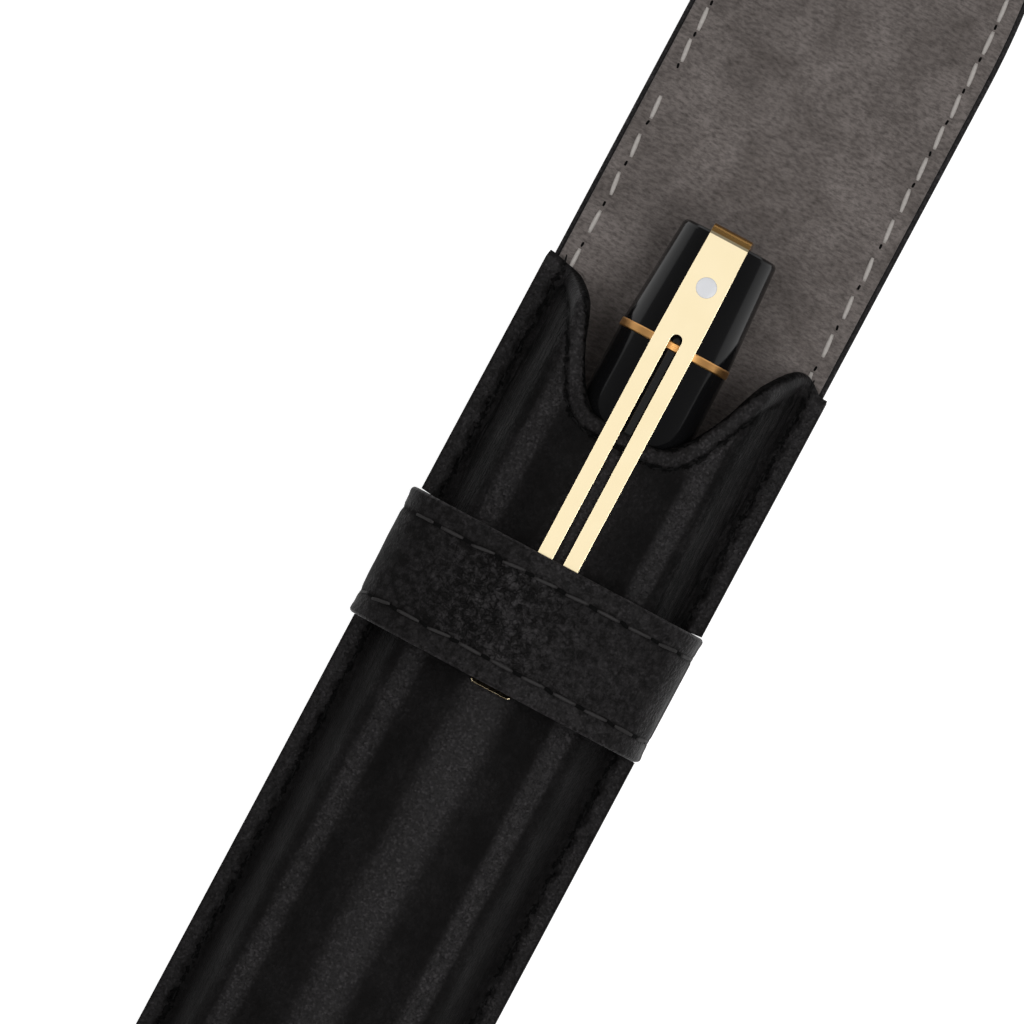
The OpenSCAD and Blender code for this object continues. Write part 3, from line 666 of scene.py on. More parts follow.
@dataclass(frozen=True)
class Suede:
    """Split suede, sanded to a short nap: matt, with brushed patches and single lighter fibres."""

    name: str = "split_suede_sanded_nap"
    colour: str = "#544e4b"
    brushed: str = "#77706d"
    dark: str = "#2f2b29"

    def build(self) -> Material:
        """Builds the shader: brushed patches, a fine nap in colour and bump, and a soft sheen.

        Returns:
            The material.
        """
        material, add = blank_material(self.name)
        place = add("ShaderNodeTexCoord", out="Object")
        # fibres are 0.05 mm thick and are drawn at 0.3 mm, so that they show
        brushed = add("ShaderNodeVectorMath", [place, (0.45, 1.0, 1.0)], operation="MULTIPLY")
        patches, nap = (
            add("ShaderNodeTexNoise", {
                "Vector": vector, "Scale": per_mm(size), "Detail": detail, "Roughness": rough,
                "Distortion": twist})
            for vector, size, detail, rough, twist in (
                (place, 7.0, 6.0, 0.68, 0.5), (brushed, 0.36, 4.0, 0.7, 0.0)))
        flecks = add("ShaderNodeTexVoronoi", {"Vector": place, "Scale": per_mm(0.5)}, "Distance")
        patch = add("ShaderNodeMapRange", [patches, 0.28, 0.66])
        shade = add("ShaderNodeMapRange", [nap, 0.6, 0.3, 0.0, 0.7])
        colour = linear(self.colour)
        for share, other in ((patch, self.brushed), (shade, self.dark)):
            colour = add("ShaderNodeMix", {0: share, 6: colour, 7: linear(other)}, 2, data_type="RGBA")
        height = add("ShaderNodeMath", [flecks, 0.5, nap], operation="MULTIPLY_ADD")
        bump = add("ShaderNodeBump", {"Height": height, "Strength": 0.6, "Distance": 0.18 * MM})
        cloth = add("ShaderNodeBsdfPrincipled", {
            "Base Color": colour, "Roughness": 0.95, "Specular IOR Level": 0.12, "Sheen Weight": 0.12,
            "Sheen Roughness": 0.5, "Normal": bump})
        add("ShaderNodeOutputMaterial", {"Surface": cloth})
        return material


@dataclass(frozen=True)
class Finish:
    """A hard, even finish: polished resin, plated metal, spun thread or board.

    The colour and the roughness are broken up by faint noise with features of the given width.
    """

    name: str
    colour: str
    second: str
    roughness: float
    metallic: float = 0.0
    feature: float = 0.6
    relief: float = 0.0
    transmission: float = 0.0
    specular: float = 0.5

    def build(self) -> Material:
        """Builds the shader from the finish's numbers.

        Returns:
            The material.
        """
        material, add = blank_material(self.name)
        fine = add("ShaderNodeTexNoise", {
            "Vector": add("ShaderNodeTexCoord", out="Object"), "Scale": per_mm(self.feature), "Detail": 3.0})
        colours = {0: fine, 6: linear(self.colour), 7: linear(self.second)}
        rough = [fine, 0.0, 1.0, self.roughness * 0.8, self.roughness * 1.2]
        inputs = {
            "Base Color": add("ShaderNodeMix", colours, 2, data_type="RGBA"),
            "Roughness": add("ShaderNodeMapRange", rough), "Metallic": self.metallic,
            "Transmission Weight": self.transmission, "Specular IOR Level": self.specular}
        if self.relief:
            inputs["Normal"] = add("ShaderNodeBump", {
                "Height": fine, "Strength": 0.5, "Distance": self.relief * MM})
        add("ShaderNodeOutputMaterial", {"Surface": add("ShaderNodeBsdfPrincipled", inputs)})
        return material


def built(finish: CalfLeather | Suede | Finish) -> Material:
    """A field of the palette that holds the finish's material."""
    return field(default_factory=finish.build)


@dataclass(frozen=True)
class Palette:
    """Every finish of the sleeve and its pen, built once."""

    # calf stretched wet over a form: grained and creased, and lighter on the faces that turn up, partly
    # rubbing and partly painted highlight
    moulded: Material = built(CalfLeather("calf_leather_wet_moulded"))
    # the flat sheets were never stretched, so their grain is shallower
    plain: Material = built(CalfLeather("calf_leather_flat", relief=0.03))
    # the strap is handled most: its grain is cracked, and greyed on its tops
    strap: Material = built(CalfLeather(
        "calf_leather_strap", pebble=0.5, folds=0.08, crack=0.75, cracks=0.85, tops=0.55))
    # skiver is split thin and flat: an even, duller black
    strap_lining: Material = built(CalfLeather("skiver_leather_lining", colour="#0f0e0e", roughness=0.6))
    # split suede drinks the light: soft grey patches, with no highlight
    suede: Material = built(Suede())
    # polyester thread, bright from its twisted filaments
    grey_thread: Material = built(Finish(
        "polyester_thread_grey", "#8f8a86", "#b3aea9", 0.6, feature=0.35, relief=0.06))
    black_thread: Material = built(Finish(
        "polyester_thread_black", "#040404", "#0c0b0b", 0.7, feature=0.35, relief=0.06, specular=0.15))
    # the strap's black thread is drawn grey-black: painted sheen of its filaments
    strap_thread: Material = built(Finish(
        "polyester_thread_black_worn", "#1b1a1a", "#302e2e", 0.6, feature=0.35, relief=0.06, specular=0.2))
    # the needle's holes are drawn as flat dark grains on the leather: painted shade for the deep, unlit holes
    hole: Material = built(Finish("needle_hole_shadow", "#030303", "#060606", 0.9, specular=0.1))
    # turned acrylic resin, polished: a deep black under clear reflections
    resin: Material = built(Finish(
        "acrylic_resin_polished", "#0e0e0f", "#111112", 0.13, feature=6.0, specular=0.2))
    # polished gold plate over brass, a mirror; drawn paler than the plate, as painted highlight where the
    # clip faces the softbox
    gold: Material = built(Finish(
        "gold_plate_polished", "#efdeb6", "#f4e4bf", 0.08, metallic=1.0, feature=4.0))
    # the same plate drawn deeper and brassier on the faces that do not face up: painted shade on the clip's
    # edges and bend
    gold_painted_shade: Material = built(Finish(
        "gold_plate_pressed_edge", "#bd9154", "#c89c5d", 0.2, metallic=1.0, feature=4.0))
    # on the turned ring the plate is drawn a deeper, redder gold as painted shade, and fine tool marks spread
    # its shine
    ring_gold_painted_shade: Material = built(Finish(
        "gold_plate_ring", "#f0b26a", "#f6bd78", 0.38, metallic=1.0, feature=4.0))
    # fired enamel: an even pale grey with a soft gloss
    enamel: Material = built(Finish("vitreous_enamel_pale_grey", "#dcdde0", "#d4d5d9", 0.3, feature=2.0))
    # ebonite left matt off the lathe: a dull black with a wide, weak highlight
    ebonite: Material = built(Finish("ebonite_matt", "#0b0a0a", "#131211", 0.45, relief=0.02))
    # steel drawn through a die: a cool grey mirror, slightly blurred
    steel: Material = built(Finish("stainless_steel_drawn", "#b4b6b9", "#c4c6c8", 0.22, metallic=1.0))
    # moulded styrene-acrylonitrile: glassy, so that the piston shows through it
    clear: Material = built(Finish(
        "san_resin_clear", "#eef3f5", "#e6edf0", 0.08, transmission=0.92, feature=3.0))
    # pressed leatherboard, inked black at its edges
    board: Material = built(Finish(
        "leatherboard_inked", "#121110", "#1c1a19", 0.85, feature=0.4, relief=0.08))


# ---- the moulded front panel -----------------------------------------------------------------


@dataclass
class MouthEdge:
    """The scooped mouth's line in plan, and the seam that follows it."""

    seam_at: float = 1.1  # distance from the edge
    seam_from: float = -14.8
    seam_to: float = 13.6
    reach_y: float = -20.0  # below this nothing of the edge is felt

    def __post_init__(self) -> None:
        """Lays out the line, and a search tree of its points."""
        self.line = np.array([[u, SLEEVE.mouth_y(u)] for u in np.linspace(-17.6, 17.6, 700)])
        self.run = run_along(self.line)
        self.tree = KDTree(len(self.line))
        for i, (u, y) in enumerate(self.line):
            self.tree.insert((u, y, 0), i)
        self.tree.balance()

    def reach(self, u: float, y: float) -> tuple[float, float]:
        """Finds how far a point is from the line, and its place along it."""
        _, index, far = self.tree.find((u, y, 0))
        return far, float(self.run[index])

    def seam(self) -> np.ndarray:
        """Lays out the seam's path in plan.

        Returns:
            Rows of [across, along], from the left peak to the right one.
        """
        along = unit(np.gradient(self.line, axis=0))
        path = self.line + np.stack([along[:, 1], -along[:, 0]], axis=1) * self.seam_at
        return np.array([p for p in path if self.reach(p[0], p[1])[0] > self.seam_at - 0.05
                         and self.seam_from + 0.1 < p[0] < self.seam_to])


@dataclass
class FrontPanel:
    """The wet-moulded front of the pouch, with its turned mouth edge and suede lining.

    Across the sleeve it runs from a ridge over the pen through a hollow valley, a flat and a shoulder
    down a steep wall to its foot, and out into the seam's margin.
    """

    palette: Palette
    columns_mm: float = 0.42
    rows_mm: float = 0.62
    ridge_deg: float = 48.0
    flat_deg: float = 6.0
    wall_deg: float = 72.0
    valley_r: float = 4.0
    flat_w: float = 1.0
    shoulder_r: float = 2.6
    foot_r: float = 1.2
    seam_x: float = 15.75
    drop_y: float = -SLEEVE.pouch_l + SLEEVE.bottom_seam + SLEEVE.end_drop
    lower_y: float = drop_y + 8
    upper_y: float = SLEEVE.strap_hi + SLEEVE.waist_run
    mouth: MouthEdge = field(default_factory=MouthEdge)
    foot_x: float = field(default=0.0, init=False)

    def profile(self, step: float) -> np.ndarray:
        """The section in the strap's zone, from left to right.

        Args:
            step: The wanted spacing of its points.

        Returns:
            Rows of [across, height, normal x, normal z].
        """
        size = SLEEVE
        low = size.seam_top + size.hump
        ridge, flat, wall = (math.radians(v) for v in (self.ridge_deg, self.flat_deg, self.wall_deg))
        at_ridge, at_flat, at_wall = (np.array([math.sin(a), math.cos(a)]) for a in (ridge, flat, wall))
        middle = np.array([0, size.ridge_z - size.ridge_r])
        valley = middle + (size.ridge_r + self.valley_r) * at_ridge
        flat_end = valley - self.valley_r * at_flat + self.flat_w * at_flat[::-1] * [1, -1]
        shoulder = flat_end - self.shoulder_r * at_flat
        x, z = shoulder + self.shoulder_r * at_wall
        wall_l = (z - low - self.foot_r * (1 - at_wall[1])) / at_wall[0]
        foot = np.array([x + wall_l * at_wall[1] + self.foot_r * at_wall[0], low + self.foot_r])
        self.foot_x = float(foot[0])
        half = Section(step)
        half.arc(middle, size.ridge_r, 0, ridge)
        half.arc(valley, -self.valley_r, ridge, flat)
        half.line(*flat_end, flat)
        half.arc(shoulder, self.shoulder_r, flat, wall)
        half.line(*(foot - self.foot_r * at_wall), wall)
        half.arc(foot, -self.foot_r, wall, 0)
        half.line(size.pouch_w / 2, low, 0)
        return np.array(mirrored(half.points[1:]) + half.points)

    def stations(self, step: float) -> list[float]:
        """Rows of the panel, from the mouth to the closed end.

        Args:
            step: The wanted spacing.

        Returns:
            Their places along the sleeve.
        """
        size = SLEEVE
        return divided([0.0, *size.waist_marks, self.lower_y, self.drop_y + 2,
                        size.bottom_seam - size.pouch_l, -size.pouch_l], step)

    def place(self, p: Point, s: float, depth: float) -> list[float]:
        """A point of the panel's plain form.

        Args:
            p: The profile's point.
            s: The row's place, as it is in the strap's zone.
            depth: The distance below the outer surface.

        Returns:
            The point.
        """
        size = SLEEVE
        u, edge = p[0], size.pouch_w / 2
        y = s
        if s > self.upper_y:
            mouth = size.mouth_y(u)
            y = mouth + (self.upper_y - mouth) * s / self.upper_y
        elif s < self.lower_y:
            over = max(abs(u) - (edge - size.corner_r), 0)
            bottom = -size.pouch_l + size.corner_r - math.sqrt(max(size.corner_r ** 2 - over ** 2, 0))
            y = self.lower_y + (s - self.lower_y) * (bottom - self.lower_y) / (-size.pouch_l - self.lower_y)
        left = 1 - step_between(0, size.end_drop, self.drop_y - y + depth)
        low, lowest = size.seam_top + size.hump_z(y), size.seam_top + size.hump
        stretch = (size.ridge_z - low) / (size.ridge_z - lowest)
        n = math.hypot(p[2] * left, p[3])
        x = u - depth * p[2] * left / n
        z = low + left * (p[1] - lowest) * stretch - depth * p[3] / n
        spare = max(abs(x) - self.foot_x, 0) / (edge - self.foot_x)
        return [x - math.copysign(size.waist_in(y) * spare, x), y, z]

    def relief(self, p: Point, row: float, point: Point) -> float:
        """How far the worked leather stands out of the plain form.

        Args:
            p: The profile's point.
            row: The row's place below the mouth.
            point: The point on the plain form.

        Returns:
            The distance in millimetres.
        """
        u, y = point[0], point[1]
        side = abs(p[0])
        value = 0.14 * lumps(point, 13, 3.1) + 0.06 * lumps(point, 4.5, 8.7)
        # long fine creases run down the side walls and shoulders, below the mouth
        creased = self.creases(side, y)
        line = streaks(u, y, 0.85, 9.0, 4.0) + 0.5 * streaks(u, y, 0.45, 5.0, 9.0)
        value += creased * 0.1 * line
        # the side seam pulls the leather in, most at the needle holes
        pull = 0.38 + 0.2 * math.cos(2 * math.pi * y / SLEEVE.pitch)
        value -= (1 + 0.5 * streaks(u, y, 2.0, 1.3, 2.0)) * pull * bell(side, self.seam_side(u, y), 0.36)
        value -= 0.3 * creased * bell(side, 14.7, 1.1) * (0.6 + line)
        # nothing stands up into the clip, which lies on the ridge
        if y > -48 and abs(u) < 3.5:
            value = min(value, 0.05)
        value *= min(1.0, -row / 3 + 0.15)
        far, run = self.mouth.reach(u, y)
        if y > self.mouth.reach_y and far < 4:
            groove = 0.2 + 0.12 * math.cos(2 * math.pi * run / SLEEVE.pitch)
            edge = step_between(17.2, 15.5, side)
            value -= edge * groove * bell(far, self.mouth.seam_at, 0.33)
            value += edge * 0.1 * step_between(1.3, 0.4, far)
        return value

    def seam_side(self, u: float, y: float) -> float:
        """Distance of the side seam from the sleeve's middle: it wanders by a tenth or two."""
        return self.seam_x + 0.16 * streaks(math.copysign(3.0, u), y, 1.0, 1.1, 6.0)

    def creases(self, side: float, y: float) -> float:
        """How strongly the leather is creased along the sleeve, from 0 to 1."""
        return bell(side, 13.4, 2.1) * clamp((y + 54) / 14, 0.3)

    def leather(self) -> Object:
        """Makes the leather layer, turned over the mouth's edge.

        Returns:
            The piece.
        """
        size = SLEEVE
        profile, rows = self.profile(self.columns_mm), self.stations(self.rows_mm)
        outer, inner = (np.array([[self.place(p, s, depth) for s in rows] for p in profile])
                        for depth in (0, size.leather_t))
        normal = unit(np.cross(np.gradient(outer, axis=1), np.gradient(outer, axis=0)))
        normal *= np.sign(normal[:, :, 2:3] + 1e-6)
        for i, p in enumerate(profile):
            for j, s in enumerate(rows):
                outer[i, j] += normal[i, j] * self.relief(p, s, outer[i, j])
        face, middle, back = (np.array([self.place(p, 0, depth) for p in profile])
                              for depth in (0, size.front_t / 2, size.front_t))
        face = unit(face - back)
        ahead = unit(np.cross(face, np.gradient(middle, axis=0)))
        roll = np.stack([
            middle + ahead * (0.06 + size.roll_r * math.sin(a)) + face * size.roll_r * math.cos(a)
            for a in (math.pi * k / 9 for k in range(1, 10))], axis=1)
        points, faces = folded_sheet(np.concatenate([outer[:, ::-1], roll, inner], axis=1), len(rows))
        obj = solid("front_panel_leather", points, faces, self.palette.moulded, 60)
        paint(obj.data, self.wear)
        return obj

    def wear(self, x: float, y: float, _: float, up: float) -> dict[str, float]:
        """How the leather is worn, grained, creased and sewn at a point, with painted highlight on faces that
        turn up and painted shade beside the seams.

        Args:
            x: The point's place across the sleeve.
            y: Its place along the sleeve.
            up: The z of its normal.

        Returns:
            The numbers that the leather's shader reads.
        """
        side = abs(x)
        near = y > self.mouth.reach_y
        crest, margin = step_between(0.9, 0.995, up), step_between(15.9, 16.9, side)
        far, _ = self.mouth.reach(x, y)
        rim = step_between(1.0, 0.6, far) if near else 0.0
        off_side = side - self.seam_side(x, y)
        sewn = near and self.mouth.seam_from < x < self.mouth.seam_to
        off_mouth = far - self.mouth.seam_at if sewn else SEAM_ZERO
        seam = max(bell(off_side, 0, 0.45), bell(off_mouth, 0, 0.3))
        fold = self.creases(side, y)
        # faces that turn up are drawn lighter: partly rubbing, partly painted highlight from the lamps
        # overhead; right of the middle they are lighter still, as painted light from the right
        value = 0.06 + (0.52 + 0.1 * step_between(6, 9, x)) * crest * (1 - 0.28 * margin)
        value += 0.22 * fold * (1 - margin)
        value = value * (1 - rim) + 0.5 * rim
        return {
            "side_seam": clamp(off_side + SEAM_ZERO, 0, 4),
            "mouth_seam": clamp(off_mouth + SEAM_ZERO, 0, 4),
            # beside the seams the lightening is held back: painted shade along them
            "rubbed": value * (1 - 0.7 * seam),
            "grain": (0.25 + 0.5 * fold + 0.35 * crest * step_between(7, 9, side)) * (1 - rim) - 0.2 * rim,
            "creased": fold * (1 - rim) * 1.4 + 0.1 * margin,
        }

    def lining(self) -> Object:
        """Makes the suede that is bonded inside the leather.

        Returns:
            The piece.
        """
        size = SLEEVE
        profile, rows = self.profile(0.9), self.stations(1.5)
        outer, inner = (np.array([[self.place(p, s, depth) for p in profile] for s in rows])
                        for depth in (size.leather_t + size.bond, size.front_t))
        points, faces = folded_sheet(np.concatenate([outer, inner[:, ::-1]], axis=1), len(profile))
        return solid("front_panel_suede", points, faces, self.palette.suede, 60)

    def build(self) -> Object:
        """Builds both layers and puts them on the pouch.

        Returns:
            The leather layer.
        """
        leather, lining = self.leather(), self.lining()
        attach(leather, Body.POUCH.value)
        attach(lining, Body.POUCH.value)
        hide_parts("front_leather", "mouth_roll")
        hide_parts("front_lining")
        return leather


# ---- back and flap ---------------------------------------------------------------------------


class Layer(Enum):
    """The two visible layers of the back and flap."""

    LEATHER = "leather"
    SUEDE = "suede"


@dataclass(frozen=True)
class Stretch:
    """A stretch of the long piece between the pouch's closed end and the flap's tip, with one fold in it."""

    name: str
    first: Body
    second: Body
    start: float
    end: float
    fold: float
    node: str

    def bend(self, obj: Object) -> None:
        """Bakes a piece's placement into its mesh.

        Args:
            obj: The piece.
        """
        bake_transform(obj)


CUT_Y = 22.64  # the bridge's middle, where the two stretches meet
LOW = Stretch("back", Body.POUCH, Body.BRIDGE, -SLEEVE.pouch_l, CUT_Y, SLEEVE.fold_a, "back")
HIGH = Stretch("flap", Body.BRIDGE, Body.TONGUE, CUT_Y, SLEEVE.flap_end, SLEEVE.fold_b, "tongue")


@dataclass
class BackAndFlap:
    """The one long piece of lined leather that is the pouch's back and the flap."""

    palette: Palette
    suede_inset: float = 0.6
    suede_short: float = 0.75
    leather_ease: float = 0.32
    suede_ease: float = 0.18
    row_mm: float = 0.9
    # distances of the columns from the edge, close together at the stitching
    near: tuple[float, ...] = (0.0, 0.45, 0.9, 1.35, 1.7, 1.95, 2.15, 2.4, 2.65, 2.9, 3.3, 4.0, 5.0)

    def half_width(self, y: float, layer: Layer) -> float:
        """Half of the layer's width at a place along the sleeve.

        Args:
            y: The place.
            layer: Leather or suede.

        Returns:
            The half width.
        """
        size = SLEEVE
        if y <= 0:
            over = max(size.corner_r - size.pouch_l - y, 0)
            round_off = size.corner_r - math.sqrt(max(size.corner_r ** 2 - over ** 2, 0))
            return size.pouch_w / 2 - round_off - size.waist_in(y)
        side = size.tongue_side(self.suede_inset if layer is Layer.SUEDE else 0.0)
        return float(np.interp(y, side[:, 1], side[:, 0]))

    def levels(self, y: float, layer: Layer) -> tuple[float, float]:
        """Finds the lower and upper face of the layer at a place along the sleeve.

        Args:
            y: The place.
            layer: Leather or suede.

        Returns:
            The two heights.
        """
        size = SLEEVE
        rise = size.hump_z(y)
        if layer is Layer.LEATHER:
            return rise, rise + size.leather_t
        top = rise + size.front_t + size.board_step(y)
        return top - size.lining_t, top

    def rows(self, start: float, end: float, layer: Layer) -> list[float]:
        """Rows between two places, close together at the corners and the tip.

        Args:
            start: The lower end.
            end: The upper end.
            layer: Leather or suede.

        Returns:
            Their places along the sleeve.
        """
        size = SLEEVE
        tip = size.flap_end - (self.suede_short if layer is Layer.SUEDE else 0.0)
        marks = [m for m in (*size.waist_marks, -0.02, 0.02, 10, 12.9) if start < m < end]
        rows = divided(sorted([start, end, *marks]), self.row_mm)
        if end >= tip:
            rows = [y for y in rows if y < tip - size.tip_r]
            rows += [tip - size.tip_r + size.tip_r * math.sin(a) for a in np.linspace(0, 1.545, 30)]
        if start <= -size.pouch_l:
            corner = size.corner_r - size.pouch_l
            rows = [y for y in rows if y > corner]
            rows = [corner - size.corner_r * math.cos(a) for a in np.linspace(0.0, math.pi / 2, 14)] + rows
        return rows

    def ring(self, y: float, layer: Layer) -> list[list[float]]:
        """The layer's section at a place along the sleeve, with eased edges and worked faces.

        Args:
            y: The place.
            layer: Leather or suede.

        Returns:
            Its points.
        """
        ease = self.leather_ease if layer is Layer.LEATHER else self.suede_ease
        wide, (low, high) = self.half_width(y, layer), self.levels(y, layer)
        inner = max(wide - ease, 0.05)
        near = [inner - min(d, inner) * min(1.0, inner / 6) for d in self.near]
        across = near + np.linspace(near[-1], -near[-1], 18)[1:-1].tolist() + [-x for x in reversed(near)]
        ring = []
        base, top = low + ease, high - ease
        for side, face_z, first_z, second_z in ((-1, high, top, base), (1, low, base, top)):
            ring += [[-side * x, y, face_z] for x in across]
            for corner_z, turns in ((first_z, (30, 60, 90)), (second_z, (90, 120, 150))):
                for a in np.radians(turns).tolist():
                    x = side * (inner + ease * math.sin(a))
                    ring.append([x, y, corner_z - side * ease * math.cos(a)])
        for point in ring:
            edge = wide - abs(point[0])
            if edge < ease:
                continue
            pull = 0.1 * bell(edge, 2.05 if y < 0 else 2.4, 0.4)
            if layer is Layer.SUEDE and point[2] > low + 0.3 and y > 0:
                point[2] += 0.05 * lumps(point, 6, 1.7) - pull
            if layer is Layer.LEATHER and point[2] < low + 0.3:
                point[2] += 0.04 + 0.04 * lumps(point, 8, 5.2) + pull
        return ring

    def wear(self, layer: Layer, x: float, y: float, *_: float) -> dict[str, float]:
        """How a layer is worn towards its edge, and its grain."""
        edge = self.half_width(y, layer) - abs(x)
        return {"rubbed": 0.2 + 0.5 * step_between(0.7, 0.2, edge), "grain": 0.3}

    def build(self) -> dict[str, Object]:
        """Builds the four pieces and bakes their placement.

        Returns:
            The pieces by name.
        """
        made = {}
        for stretch in (LOW, HIGH):
            for layer in Layer:
                name = f"{stretch.name}_{layer.value}"
                rows = self.rows(stretch.start, stretch.end, layer)
                points, faces = tube_of_rings(np.array([self.ring(y, layer) for y in rows]))
                hide = layer is Layer.LEATHER
                obj = solid(name, points, faces, self.palette.plain if hide else self.palette.suede, 50)
                paint(obj.data, partial(self.wear, layer))
                stretch.bend(obj)
                kind = "leather" if hide else "lining"
                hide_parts(f"{stretch.node}_{kind}", f"bridge_{kind}")
                made[name] = obj
        return made


# ---- strap -----------------------------------------------------------------------------------


@dataclass
class Strap:
    """The sewn loop that holds the flap's tongue."""

    palette: Palette
    half_w: float = 18.4
    leather_t: float = 0.9
    lining_t: float = 0.47
    lining_in: float = 0.02
    rise: float = 9.2
    end_r: float = 8.0
    corner_r: float = 1.6
    top_z: float = 25.87
    seam_in: float = 2.65
    eased: float = 0.12

    def outline(self, step: float) -> np.ndarray:
        """The loop's outer line, from the crown to the right and round.

        Args:
            step: The wanted spacing of its points.

        Returns:
            Rows of [across, height, normal x, normal z].
        """
        inside = self.half_w - self.end_r
        crown = (inside ** 2 + self.rise ** 2 - self.end_r ** 2) / (2 * (self.rise - self.end_r))
        turn = math.asin(inside / (crown - self.end_r))
        half = Section(step)
        half.arc((0, self.top_z - crown), crown, 0, turn)
        half.arc((inside, self.top_z - self.rise), self.end_r, turn, math.pi / 2)
        half.line(self.half_w, self.corner_r, math.pi / 2)
        half.arc((self.half_w - self.corner_r, self.corner_r), self.corner_r, math.pi / 2, math.pi)
        half.line(0.0, 0.0, math.pi)
        return np.array(half.points + mirrored(half.points[1:-1]))

    def band(self, name: str, section: list[tuple[float, float]], material: Material, worked: bool) -> Object:
        """Sweeps a section round the loop.

        Args:
            name: The piece's name.
            section: Points of the section as [along the pouch, depth below the outer face].
            material: The band's material.
            worked: Whether the leather shows the unevenness of hand work.

        Returns:
            The band.
        """
        high, low = (pick(y for y, _ in section) for pick in (max, min))
        rings = []
        for x, z, nx, nz in self.outline(0.5):
            ring = []
            for y, depth in section:
                flare = 0.3 * max(-x / self.half_w, 0) ** 4 * (y - low) / (high - low) if worked else 0.0
                if worked and depth < 0.3 and z > 3:
                    depth -= 0.06 * lumps((x, y, z), 5, 2.2) + 0.035 * lumps((x, y, z), 1.8, 7.9)
                ring.append([x - nx * depth - flare, y, z - nz * depth])
            rings.append(ring)
        points, faces = tube_of_rings(np.array([*rings, rings[0]]), capped=False)
        obj = solid(name, points, faces, material, 45)
        paint(obj.data, partial(self.wear, high, low))
        return obj

    def wear(self, high: float, low: float, x: float, y: float, z: float, _: float) -> dict[str, float]:
        """How the strap is worn and grained at a point, with painted shade along its stitching.

        Args:
            high: The band's upper edge.
            low: Its lower edge.
            x: The point's place across the sleeve.
            y: Its place along the sleeve.
            z: Its height.

        Returns:
            The numbers that the leather's shader reads.
        """
        edge = min(high - y, y - low)
        border = step_between(2.9, 2.3, edge)
        turned = step_between(16.2, 17.6, abs(x)) * step_between(12, 16, z)
        # lighter towards the strap's right half
        lighter_rightwards = 0.17 + 0.14 * step_between(-9.0, 1.0, x)
        worn = 0.1 * border + 0.7 * step_between(0.22, 0.08, edge) + 0.2 * turned
        return {
            # the lines of stitching are painted darker: painted shade along them
            "rubbed": lighter_rightwards + worn - 0.4 * bell(edge, self.seam_in, 0.3),
            "grain": 0.6 * bell(x, -3.5, 8.0) * (1 - border) + 0.42,
        }

    def leather(self) -> Object:
        """Makes the outer leather, with a raised border outside the stitching.

        Returns:
            The band.
        """
        high, low, t = SLEEVE.strap_hi, SLEEVE.strap_lo, self.leather_t
        face = []
        for y in np.linspace(high - 0.3, low + 0.3, 60).tolist():
            edge = min(high - y, y - low)
            face.append((y, 0.05 + 0.14 * bell(edge, self.seam_in, 0.35) - 0.1 * bell(edge, 0.55, 0.45)))
        rim = [(self.eased, t), (0.0, t - self.eased), (0.0, 0.36), (0.09, 0.14)]
        section = [(high - y, depth) for y, depth in rim] + face
        section += [(low + y, depth) for y, depth in reversed(rim)]
        section += [(y, t) for y in np.linspace(low + 0.5, high - 0.5, 12).tolist()]
        return self.band("strap_outer_leather", section, self.palette.strap, True)

    def lining(self) -> Object:
        """Makes the thin lining inside the loop.

        Returns:
            The band.
        """
        high, low = SLEEVE.strap_hi - self.lining_in, SLEEVE.strap_lo + self.lining_in
        outer = self.leather_t + SLEEVE.bond
        inner = outer + self.lining_t
        ys = np.linspace(high - 0.1, low + 0.1, 14).tolist()
        section = [(y, outer) for y in ys] + [(low, outer + 0.1), (low, inner - 0.1)]
        section += [(y, inner) for y in reversed(ys)] + [(high, inner - 0.1), (high, outer + 0.1)]
        return self.band("strap_inner_lining", section, self.palette.strap_lining, False)

    def build(self) -> Object:
        """Builds both bands and puts them on the pouch.

        Returns:
            The outer band.
        """
        leather, lining = self.leather(), self.lining()
        for obj, node, slot in ((leather, "strap_leather", "black_leather"),
                                (lining, "strap_lining", "black_lining_leather")):
            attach(obj, Body.POUCH.value)
            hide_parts(node)
        return leather


# ---- stitching -------------------------------------------------------------------------------


@dataclass(frozen=True)
class Seam:
    """One line of machine stitching, with the sizes of its needle holes. Its angles are in radians."""

    name: str
    pitch: float = SLEEVE.pitch
    stitch_l: float = 2.85
    thread_w: float = 0.56
    thread_h: float = 0.34
    sunk: float = 0.0
    slant: float = 0.05
    sway: float = 0.16
    hole_l: float = 0.7
    hole_w: float = 0.26


